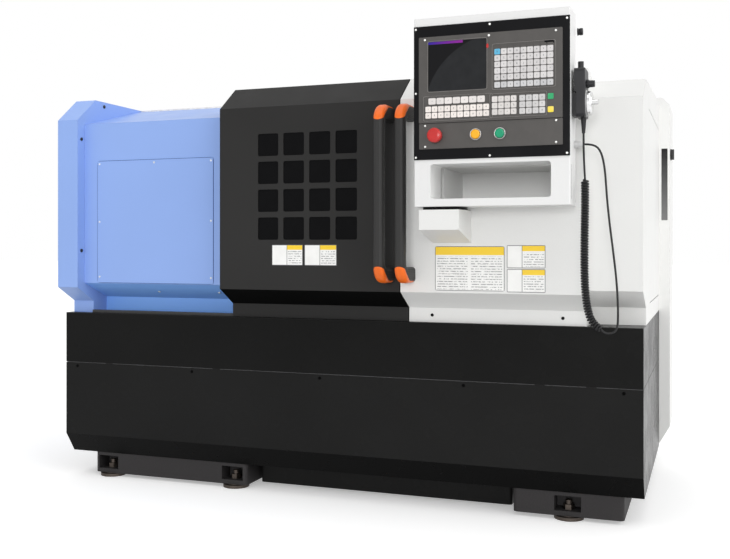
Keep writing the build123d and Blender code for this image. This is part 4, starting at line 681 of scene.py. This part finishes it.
def cord_points():
    """The lead's and the tail's points, given in millimetres, and the coil between them."""
    gland = np.array([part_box("cord_gland")[1].x, *middle("cord_gland")[1:]])
    boot = np.array([*middle("pendant_boot")[:2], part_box("pendant_boot")[0].z])
    console = np.array([HOUSING_HIGH.x, boot[1], 0.0])
    lead = gland + MM * np.array([
        (0, 0, 0), (30, 0, 0), (50, -1, -22), (60, -2, -70), (65, -3, -148), (73, -5, -226),
        (83, -6, -304), (92, -8, -382), (95.5, -9, -446), (96, -10, -484), (95, -11, -508),
        (87, -12, -524),
    ])
    tail = boot + MM * np.array([(0, 0, 0), (0, 0, -40), (1, 3, -84), (3, 5, -126)])
    coil = np.vstack([
        tail[-1:], boot + MM * np.array([[4, 7, -168]]),
        console + MM * np.array([
            (29, 8, 800), (31, 9, 700), (41, 10, 634), (57, 11, 607), (76, 12, 593),
        ]),
    ])
    heading = coil[-1] - coil[-2]
    turn_in = coil[-1] + heading / np.linalg.norm(heading) * TURN_IN
    line = read_line(nurbs_curve("coil_line", coil))
    helix = helix_along(line, COIL_RADIUS, COIL_PITCH, TURN_POINTS)
    return np.vstack([lead, turn_in[None], helix[::-1], tail[-2::-1]]), gland


def add_cord():
    """The pendant's cord: a round section swept along its points."""
    points, gland = cord_points()
    data = nurbs_curve("pendant_cord", points)
    data.resolution_u = 4
    data.bevel_depth = CORD_RADIUS
    data.bevel_resolution = 3
    data.use_fill_caps = True
    cord = in_scene("pendant_cord", data)
    dress(cord, "console", "cord_black")
    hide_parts("cord_lead", "cord_coil", "cord_tail")


add_cord()

# Corner inserts of the pull handles: drops of orange trim over the outside of each bow's corners
HANDLE_BEND = 58.0 * MM
HANDLE_EDGE = 11.0 * MM
INSERT_START = math.radians(9)
INSERT_END_GAP = 6.0 * MM
INSERT_PLACES = np.array([0, 16, 30, 44, 54, 64, 74, 84, 96, 112, 134])
INSERT_GIRTHS = np.array([21, 22.5, 25, 27, 26.5, 24.5, 21, 18, 16.4, 15.4, 14.6])
INSERT_REST = 0.2 * MM
INSERT_RISE = 1.6 * MM


def insert_sheet(x, half, front, door, corner_z, up, along=64, around=25):
    """A drop-shaped sheet on the outside of a corner. The path follows the bow's outline, an arc
    and then a straight line to the door. Across it, a length of girth is laid over the bow's
    section: flat in the middle, then round each edge, then down the side. The half girth starts
    as half an ellipse and follows the widths of the drop to its tail at the door, and the sheet
    rises over the bow by one less the fourth power of its share of that girth."""
    arc_length = HANDLE_BEND * (math.pi / 2 - INSERT_START)
    straight = (door - front) - HANDLE_BEND - INSERT_END_GAP
    share = (1 - np.cos(np.linspace(0, math.pi, along))) / 2
    s = share * (arc_length + straight)
    angle = np.minimum(INSERT_START + s / HANDLE_BEND, math.pi / 2)
    run = np.maximum(s - arc_length, 0)
    normal_y, normal_z = -np.cos(angle), up * np.sin(angle)
    path_y = front + HANDLE_BEND * (1 - np.cos(angle)) + run
    path_z = corner_z - up * HANDLE_BEND * (1 - np.sin(angle))
    nose = 18 * MM
    rounded = np.sqrt(np.clip(1 - (1 - np.minimum(s / nose, 1)) ** 2, 0.0004, 1))
    girth = rounded * np.interp(s, INSERT_PLACES * MM, INSERT_GIRTHS * MM)
    v = np.linspace(-1, 1, around)
    width = girth[:, None] * np.abs(v)[None]
    flat = half - HANDLE_EDGE
    turn = np.clip((width - flat) / HANDLE_EDGE, 0, math.pi / 2)
    beyond = np.maximum(width - flat - HANDLE_EDGE * math.pi / 2, 0)
    across = np.minimum(width, flat) + HANDLE_EDGE * np.sin(turn)
    depth = HANDLE_EDGE * (1 - np.cos(turn)) + beyond
    ends = np.clip(np.minimum(s, s[-1] - s) / (10 * MM), 0, 1)[:, None] ** 0.5
    rise = INSERT_REST + INSERT_RISE * (1 - v[None] ** 4) * ends
    across = across + rise * np.sin(turn)
    depth = depth - rise * np.cos(turn)
    return np.stack([
        x + np.sign(v)[None] * across,
        path_y[:, None] - depth * normal_y[:, None],
        path_z[:, None] - depth * normal_z[:, None],
    ], -1)


def add_inserts(name, node, body, caps_node):
    """The sheets at the top and the foot of one handle, the foot's a mirror of the top's."""
    low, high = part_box(node)
    half, x = (high.x - low.x) / 2, (low.x + high.x) / 2
    top = insert_sheet(x, half, low.y, high.y, high.z, 1)
    foot = insert_sheet(x, half, low.y, high.y, low.z, -1)
    along, around = top.shape[:2]
    faces = grid_faces(along, around)
    rows = [faces, faces[:, ::-1] + along * around]
    piece = make_object(name, np.stack([top, foot]), np.vstack(rows).tolist())
    thicken(piece, 2.0 * MM)
    dress(piece, body, "cap_orange")
    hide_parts(caps_node)


add_inserts("door_handle_inserts", "door_handle_grip", "door", "door_handle_caps")
add_inserts("hood_handle_inserts", "hood_handle_grip", "frame", "hood_handle_caps")

# Keys of the control unit, block by block, in millimetres from the unit's lower left corner:
# left, low, width, height, columns and rows
KEY_RISE = 1.0 * MM
KEY_GAP = 1.4
KEY_BLOCKS = [
    ("letters", 219, 110, 165, 89.5, 9, 5),
    ("digits", 219, 89, 165, 18, 9, 1),
    ("soft", 28, 51.5, 166, 20, 7, 1),
    ("modes", 19, 12, 187, 36, 10, 2),
    ("feeds", 212, 13.5, 71, 54, 4, 3),
    ("axes", 289, 13, 73, 54, 4, 3),
    ("start", 367, 50, 18, 18, 1, 1),
    ("hold", 367, 14, 18, 18, 1, 1),
]
KEY_TINTS = {
    "letters": (0.62, 0.60, 0.60), "digits": (0.56, 0.56, 0.57), "soft": (0.74, 0.70, 0.68),
    "modes": (0.82, 0.76, 0.72), "feeds": (0.66, 0.63, 0.61), "axes": (0.58, 0.57, 0.57),
    "start": (0.0, 0.36, 0.12), "hold": (0.88, 0.68, 0.03),
}
FIRST_KEY_TINT = (0.08, 0.42, 0.66)
UNIT_FACE = UNIT_LOW.y + KEY_RISE
GLYPH_SIZE = 6.8 * MM
GLYPH_LIFT = 0.55 * MM


def key_places():
    """Centres, half sizes, tints and block names of all the keys, row by row from the top."""
    centres, halves, tints, names = [], [], [], []
    random = np.random.default_rng(7)
    for name, start, low, width, height, columns, rows in KEY_BLOCKS:
        pitch_x, pitch_z = width / columns, height / rows
        for row in range(rows):
            for column in range(columns):
                x = UNIT_LOW.x + (start + (column + 0.5) * pitch_x) * MM
                z = UNIT_LOW.z + (low + height - (row + 0.5) * pitch_z) * MM
                centres.append((x, UNIT_FACE - KEY_RISE, z))
                halves.append(((pitch_x - KEY_GAP) / 2 * MM, (pitch_z - KEY_GAP) / 2 * MM))
                tint = np.array(KEY_TINTS[name]) * random.uniform(0.93, 1.07)
                first = name == "letters" and row == 0 and column == 0
                tints.append(FIRST_KEY_TINT if first else tuple(np.clip(tint, 0, 1)))
                names.append(name)
    return np.array(centres), np.array(halves), np.array(tints), names


def add_keys():
    """All keys as one mesh of low pads, each with its own tint at its points."""
    centres, halves, tints, names = key_places()
    keys = pads("membrane_keys", centres, halves - 0.2 * MM, 0.5 * MM, 0.3 * MM, power=7, count=16)
    colours = np.ones((len(centres), 48, 4))
    colours[:, :, :3] = tints[:, None]
    layer = keys.data.color_attributes.new("tint", "FLOAT_COLOR", "POINT")
    layer.data.foreach_set("color", colours.ravel())
    dress(keys, "console", "unit_plastic", tinted_keys("key_caps"))
    return centres, names


def add_legends(centres, names):
    """Plain letters, digits and arrows on the keys, each glyph a flat mesh in front of its key."""
    marks = {
        "letters": "R O N G P 7 8 9 <  X Z U W M 4 5 6 ^  F S T K J 1 2 3 v  I D H L Q - 0 . >"
                   "  A B C E V + = / *",
        "digits": "1 2 3 4 5 6 7 8 9",
        "soft": "< = = = = = >", "modes": "1 2 3 4 5 6 7 8 9 0 A B C D E F G H J K",
        "feeds": "- = + % - = + % - = + %", "axes": "^ Z + X < ~ > Y v Z - X",
    }
    glyphs = {name: text.split() for name, text in marks.items()}
    used = dict.fromkeys(glyphs, 0)
    vertices, faces, offset = [], [], 0
    cache = {}
    for centre, name in zip(centres, names):
        if name not in glyphs or used[name] >= len(glyphs[name]):
            continue
        glyph = glyphs[name][used[name]]
        used[name] += 1
        if glyph not in cache:
            data = bpy.data.curves.new("glyph", "FONT")
            data.body, data.size, data.resolution_u = glyph, GLYPH_SIZE, 2
            data.align_x, data.align_y = "CENTER", "CENTER"
            cache[glyph] = curve_mesh(data)
        points, polygons = cache[glyph]
        vertices.append(np.stack([
            centre[0] + points[:, 0],
            np.full(len(points), centre[1] - GLYPH_LIFT),
            centre[2] + points[:, 1],
        ], 1))
        faces += [[offset + i for i in polygon] for polygon in polygons]
        offset += len(points)
    piece = make_object("key_legends", np.vstack(vertices), faces, smooth=False)
    dress(piece, "console", "unit_plastic", moulded("legend_ink", (0.12, 0.12, 0.13), 0.5))


key_centres, key_names = add_keys()
add_legends(key_centres, key_names)


# Frames, plates, screws and small fittings of the console
# In millimetres from the unit's lower left corner: frames as middle and half size, then the
# middle and half size of the small display and of the lamp beside the screen
UNIT_FRAMES = [(301.5, 149, 88, 64), (114, 41, 100, 35), (286, 41, 79, 33)]
SCREEN_MARGIN = 2 * MM
DISPLAY = (372, 208, 13, 4.5)
LAMP = (200, 209, 3.4, 6.5)
# Middle of the swivel disc, in millimetres of the machine, and the port's place behind the
# housing's front and over the floor
SWIVEL_MIDDLE = (1452, -158, 931)
PORT_DEPTH = 150 * MM
PORT_HEIGHT = 1442 * MM


def unit_point(x, z):
    """A point of the unit's face, in millimetres from its lower left corner."""
    return (UNIT_LOW.x + x * MM, UNIT_FACE, UNIT_LOW.z + z * MM)


def add_console_trim():
    """Frames round the screen and the key blocks, a display and a lamp, all superellipses."""
    screen_x, _, screen_z = middle("cnc_screen")
    screen_half = (SCREEN_HIGH - SCREEN_LOW) / 2
    centres = [(screen_x, UNIT_FACE, screen_z)] + [unit_point(x, z) for x, z, _, _ in UNIT_FRAMES]
    halves = [(screen_half.x + SCREEN_MARGIN, screen_half.z + SCREEN_MARGIN)]
    halves += [(half_x * MM, half_z * MM) for _, _, half_x, half_z in UNIT_FRAMES]
    trim = frames_round("unit_frames", centres, halves, 1.2 * MM, 0.9 * MM, power=30)
    # The frames' grey is lighter than the unit's: partly their own tone, partly a painted highlight
    # along the bezel's edges
    dress(trim, "console", "unit_plastic", moulded("frame_grey_and_highlight", (0.2, 0.19, 0.18), 0.35))
    display = pads(
        "small_display", [unit_point(*DISPLAY[:2])], [np.array(DISPLAY[2:]) * MM],
        0.6 * MM, 0.3 * MM,
    )
    black = moulded("display_black", (0.003, 0.003, 0.004), 0.2, shine=0.06)
    dress(display, "console", "screen_glass", black)
    lamp = pads(
        "screen_lamp", [unit_point(*LAMP[:2])], [np.array(LAMP[2:]) * MM], 1.4 * MM, 0.8 * MM,
        power=2.3, count=28,
    )
    dress(lamp, "console", "estop_red")


def add_console_screws():
    """Screws of the front plate at its edges, and of the unit and the operator panel at their
    ends, each a little way in from the edge."""
    left, right = PLATE_LOW.x + 6 * MM, PLATE_HIGH.x - 8 * MM
    low, high = PLATE_LOW.z + 7 * MM, PLATE_HIGH.z - 8 * MM
    across = (left, (PLATE_LOW.x + PLATE_HIGH.x) / 2, right)
    places = [(x, PLATE_LOW.y, z) for x in across for z in (low, high)]
    places.append((left, PLATE_LOW.y, (low + high) / 2))
    ends = (UNIT_LOW.x + 18 * MM, UNIT_HIGH.x - 18 * MM)
    top = UNIT_HIGH.z - 8 * MM
    places += [(x, UNIT_FACE, top) for x in (ends[0], (ends[0] + ends[1]) / 2, ends[1])]
    strip_rows = (STRIP_HIGH.z - 6 * MM, STRIP_LOW.z + 7 * MM)
    places += [(x, STRIP_FACE, z) for x in ends for z in strip_rows]
    dress(turned_heads("console_screws", places), "console", "zinc_steel")


def add_button_rings():
    """Steel rings round the start and the stop button, over their collars."""
    buttons = [middle(node) for node in ("start_button", "stop_button")]
    rings = turned_heads("button_rings", [(x, STRIP_FACE, z) for x, _, z in buttons])
    steel = machined("ring_steel", (0.42, 0.42, 0.41), 0.3, (60.0, 60.0, 60.0))
    dress(rings, "console", "chrome_rim", steel)


def add_swivel_ring():
    """The dark gasket round the disc on which the console turns."""
    ring = turned_heads("swivel_ring", [place(*SWIVEL_MIDDLE)], direction=(0, 0, 1))
    dress(ring, "frame", "console_black")


def add_side_port():
    """The capped socket high on the housing's right side, eight-sided like its nut."""
    spot = (HOUSING_HIGH.x, HOUSING_LOW.y + PORT_DEPTH, PORT_HEIGHT)
    port = turned_heads("console_side_port", [spot], direction=(1, 0, 0))
    dress(port, "console", "pendant_plastic")


add_console_trim()
add_console_screws()
add_button_rings()
add_swivel_ring()
add_side_port()

# Plain plates on the door and the hood, in millimetres of the machine: left, right, low, high,
# foot and start of the coloured strip, and the columns of rules
PLATES = [
    ("door_plate_left", "door", 855, 963, 765, 831, 815, 908, ((912, 958),)),
    ("door_plate_right", "door", 969, 1079, 765, 831, 815, 1022, ((1026, 1074),)),
    ("hood_plate_wide", "frame", 1399, 1611, 693, 826, 800, 1399, ((1406, 1500), (1510, 1604))),
    ("hood_plate_high", "frame", 1618, 1731, 762, 829, 812, 1663, ((1668, 1726),)),
    ("hood_plate_low", "frame", 1618, 1731, 691, 759, 742, 1663, ((1668, 1726),)),
]
DOOR_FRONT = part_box("sliding_door")[0].y


def add_plates():
    """Thin pads that are nearly square-cornered, each with its own printed finish."""
    for name, body, left, right, low, high, header, start, columns in PLATES:
        lows, highs = place(left, 0, low), place(right, 0, high)
        centre = ((lows[0] + highs[0]) / 2, DOOR_FRONT, (lows[2] + highs[2]) / 2)
        half = ((highs[0] - lows[0]) / 2, (highs[2] - lows[2]) / 2)
        plate = pads(name, [centre], [half], 0.5 * MM, 0.15 * MM, power=40, count=40)
        spans = [(place(a, 0, 0)[0], place(b, 0, 0)[0]) for a, b in columns]
        box = (lows[0], highs[0], lows[2], highs[2])
        finish = banded_plate(name, box, header * MM, place(start, 0, 0)[0], spans)
        dress(plate, body, "white_paint", finish)


add_plates()


# Small plugs on the end cover's right side: distances from the base's front and heights
PLUG_PLACES = ((-40, 1204), (-40, 811), (94, 1336))


def add_plugs():
    """Low turned caps that stand out to the right."""
    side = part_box("end_cover")[1].x
    spots = [(side, *place(0, y, z)[1:]) for y, z in PLUG_PLACES]
    plugs = turned_heads("end_cover_plugs", spots, direction=(1, 0, 0))
    dress(plugs, "frame", "pendant_plastic")


add_plugs()


# Screws of the sheet metal: zinc on the blue panels, black on the base and the hood's sill.
# Their places are in millimetres of the machine, from the left end, the front and the floor.
BEVEL_SCREWS = [(361.6, 40.8, 667), (599.0, 40.8, 667)]
BEVEL_NORMAL = (0, -0.4305, -0.9026)
BASE_SCREWS = [(x, 0, 398) for x in (48, 515, 988, 1467, 1945)]
SILL_SCREWS = [(x, 12, 611.5) for x in (1364, 1768)]


def add_panel_screws():
    """Turned heads with a sunk middle, smaller on the access panel."""
    low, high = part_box("access_panel")
    sides = (low.x + 8 * MM, high.x - 8 * MM)
    centre_x, _, centre_z = middle("access_panel")
    zinc = [(x, low.y, high.z - 10 * MM) for x in (sides[0], centre_x, sides[1])]
    zinc += [(x, low.y, z) for x in sides for z in (centre_z, low.z + 20 * MM)]
    heads = turned_heads("panel_screw_heads", zinc)
    dress(heads, "frame", "zinc_steel")
    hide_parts("panel_screws")
    slope = [place(*spot) for spot in BEVEL_SCREWS]
    heads = turned_heads("bevel_screw_heads", slope, BEVEL_NORMAL)
    dress(heads, "frame", "zinc_steel")
    black = [place(*spot) for spot in BASE_SCREWS + SILL_SCREWS]
    heads = turned_heads("base_screw_heads", black)
    oxide = moulded("oxide_black", FOLD_SHADE_AND_OXIDE_BLACK, 0.5, shine=0.04)
    dress(heads, "frame", "switch_black", oxide)


def add_panel_gap():
    """The dark line round the access panel, on the cover behind it: the gap at the panel's edge
    with a painted shadow of the panel.
    """
    low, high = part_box("access_panel")
    centre_x, _, centre_z = middle("access_panel")
    half = ((high.x - low.x) / 2 + 0.6 * MM, (high.z - low.z) / 2 + 0.6 * MM)
    centre = (centre_x, high.y, centre_z)
    gap = frames_round("panel_gap", [centre], [half], 2.4 * MM, 0.5 * MM, power=60)
    dress(gap, "frame", "blue_paint", moulded("gap_shade", (0.05, 0.11, 0.32), 0.6, shine=0.1))


add_panel_screws()
add_panel_gap()


# Base, in millimetres of the machine: the lower apron with its folded foot, the strip behind
# the seam, the recess in the cabinet, and the console's row of studs, whose heights are metres
APRON_FOOT = (46.0, 85.0)
APRON_FOLD = 155.0
APRON_TOP = 410.0
APRON_RETURN = 40.0
BASE_SPAN = (0.0, 2000.0)
BASE_BACK = 860.0
SEAM_INSET = 3.3
SEAM_HEIGHTS = (404.0, 418.0)
RECESS_MIDDLE = (2019, 861.9)
RECESS_HEIGHTS = (923 * MM, 1190 * MM)
RECESS_HALF_WIDTH = 10.8 * MM
STUD_DEPTH = -199
STUD_HEIGHTS = np.linspace(0.959, 1.050, 24)


def add_lower_apron():
    """Three outer faces of a folded sheet, each end cut to the slope of the front's foot, and
    two narrow returns at the back. The sheet's wall is laid on inwards."""
    side = [
        APRON_FOOT, (0, APRON_FOLD), (0, APRON_TOP), (BASE_BACK, APRON_TOP),
        (BASE_BACK, APRON_FOOT[1]),
    ]
    points = [place(x, y, z) for x in BASE_SPAN for y, z in side]
    returns = (BASE_SPAN[0] + APRON_RETURN, BASE_SPAN[1] - APRON_RETURN)
    points += [place(x, BASE_BACK, z) for x in returns for z in (APRON_TOP, APRON_FOOT[1])]
    faces = [
        [0, 5, 6, 1], [1, 6, 7, 2], [0, 1, 2, 3, 4], [9, 8, 7, 6, 5],
        [4, 3, 10, 11], [8, 9, 13, 12],
    ]
    apron = make_object("lower_apron_skin", points, faces, smooth=False)
    thicken(apron, 3.0 * MM, even=True)
    # The apron's folded foot gets painted shade: near black over the base coat
    skin = base_coat("apron_skin", BASE_BLACK, painted_shading=(*BASE_FOLD, FOLD_SHADE_AND_OXIDE_BLACK))
    dress(apron, "frame", "base_paint", skin)
    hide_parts("lower_apron")


def add_seam_strip():
    """A grey strip behind the seam of the aprons, run round the front and both ends: a painted
    highlight along the lower apron's top edge, seen through the seam.
    """
    left, right = BASE_SPAN[0] + SEAM_INSET, BASE_SPAN[1] - SEAM_INSET
    back = BASE_BACK - 4
    route = [(left, back), (left, SEAM_INSET), (right, SEAM_INSET), (right, back)]
    points = [place(x, y, z) for z in SEAM_HEIGHTS for x, y in route]
    faces = [[0, 1, 5, 4], [1, 2, 6, 5], [2, 3, 7, 6]]
    strip = make_object("seam_strip", points, faces, smooth=False)
    thicken(strip, 1.2 * MM)
    # Painted highlight: a mid grey that shows through the seam as a light line
    grey = powder_coat("seam_highlight_grey", (0.16, 0.16, 0.165), 0.5, 0.1)
    dress(strip, "frame", "base_paint", grey)


def add_recess_shade():
    """The shaded slot in the rear cabinet's edge, dark at its top."""
    low, high = RECESS_HEIGHTS
    centre = place(*RECESS_MIDDLE, (low + high) / 2 / MM)
    recess = pads(
        "cabinet_recess", [centre], [(RECESS_HALF_WIDTH, (high - low) / 2)], 0.6 * MM, 0.1 * MM,
        power=60, count=48,
    )
    fading = fading_black("recess_shade", low, high, (0.01, 0.01, 0.01), (0.2, 0.2, 0.2))
    dress(recess, "frame", "switch_black", fading)


def add_console_seam():
    """A row of small studs close together, as the dark seam beside the console's pocket."""
    y = place(0, STUD_DEPTH, 0)[1]
    studs = [(HOUSING_HIGH.x, y, z) for z in STUD_HEIGHTS]
    seam = turned_heads("console_side_seam", studs, direction=(1, 0, 0))
    dress(seam, "console", "pendant_plastic")


add_lower_apron()
add_seam_strip()
add_recess_shade()
add_console_seam()


# Pendant: the dial round the pulse wheel
def add_dial():
    """A thin turned disc on the pendant's face."""
    body_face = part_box("pendant_body")[1].x
    centre = [(body_face, *middle("pendant_wheel")[1:])]
    dial = turned_heads("pendant_dial", centre, direction=(1, 0, 0))
    dress(dial, "console", "pendant_plastic", moulded("dial_grey", (0.6, 0.6, 0.6), 0.35))


add_dial()


# Floor, light and world
def background_share(tree):
    """One for rays that show the background: from the camera, a mirror or glass."""
    path = wire(tree, "ShaderNodeLightPath")
    share = path.outputs["Is Camera Ray"]
    for kind in ("Is Glossy Ray", "Is Transmission Ray"):
        share = maths(tree, "MAXIMUM", share, path.outputs[kind])
    return share


# Floor: half its side, how far it lies under the feet, its colour for the object's light and
# for the background, and the glow that carries the background to white
FLOOR_HALF = 40.0
FLOOR_DROP = 0.5 * MM
FLOOR_GREY = (0.78, 0.78, 0.78)
FLOOR_PALE = (0.9, 0.9, 0.9)
FLOOR_GLOW = 0.35


def add_stage():
    """A square floor with a glow that only the background's rays see."""
    signs = [(-1, -1), (1, -1), (1, 1), (-1, 1)]
    corners = [(x * FLOOR_HALF, y * FLOOR_HALF, -FLOOR_DROP) for x, y in signs]
    floor = make_object("floor", corners, [[0, 1, 2, 3]], smooth=False)
    material, tree, shader, _ = started("floor")
    share = background_share(tree)
    tint = mixed(tree, share, FLOOR_GREY, FLOOR_PALE)
    tree.links.new(tint, shader.inputs["Base Color"])
    glow = maths(tree, "MULTIPLY", share, FLOOR_GLOW)
    shader.inputs["Emission Color"].default_value = (1, 1, 1, 1)
    tree.links.new(glow, shader.inputs["Emission Strength"])
    shader.inputs["Roughness"].default_value = 0.9
    shader.inputs["Specular IOR Level"].default_value = 0.0
    floor.data.materials.append(material)


def add_sun(name, strength, toward, spread):
    """A broad sun: light that comes from the direction toward, with a wide soft edge."""
    data = bpy.data.lights.new(name, "SUN")
    data.energy, data.angle = strength, math.radians(spread)
    x, y, z = toward
    turn = (math.atan2(math.hypot(x, y), z), 0, math.atan2(y, x) + math.pi / 2)
    in_scene(name, data).rotation_euler = turn


def add_world():
    """Grey light all round, and white where the background shows."""
    world = bpy.data.worlds.new("studio")
    bpy.context.scene.world = world
    world.use_nodes = True
    tree = world.node_tree
    colour = mixed(tree, background_share(tree), (0.6, 0.6, 0.6), (1, 1, 1))
    tree.links.new(colour, tree.nodes["Background"].inputs["Color"])
    tree.nodes["Background"].inputs["Strength"].default_value = 1.0


add_stage()
add_sun("front_light", 0.78, (0.12, -1.0, 0.1), 15)
add_sun("side_light", 1.45, (1.0, -0.25, 0.36), 60)
add_sun("top_light", 0.65, (0.0, -0.25, 1.0), 60)
add_world()
bpy.context.scene.view_settings.view_transform = "Standard"
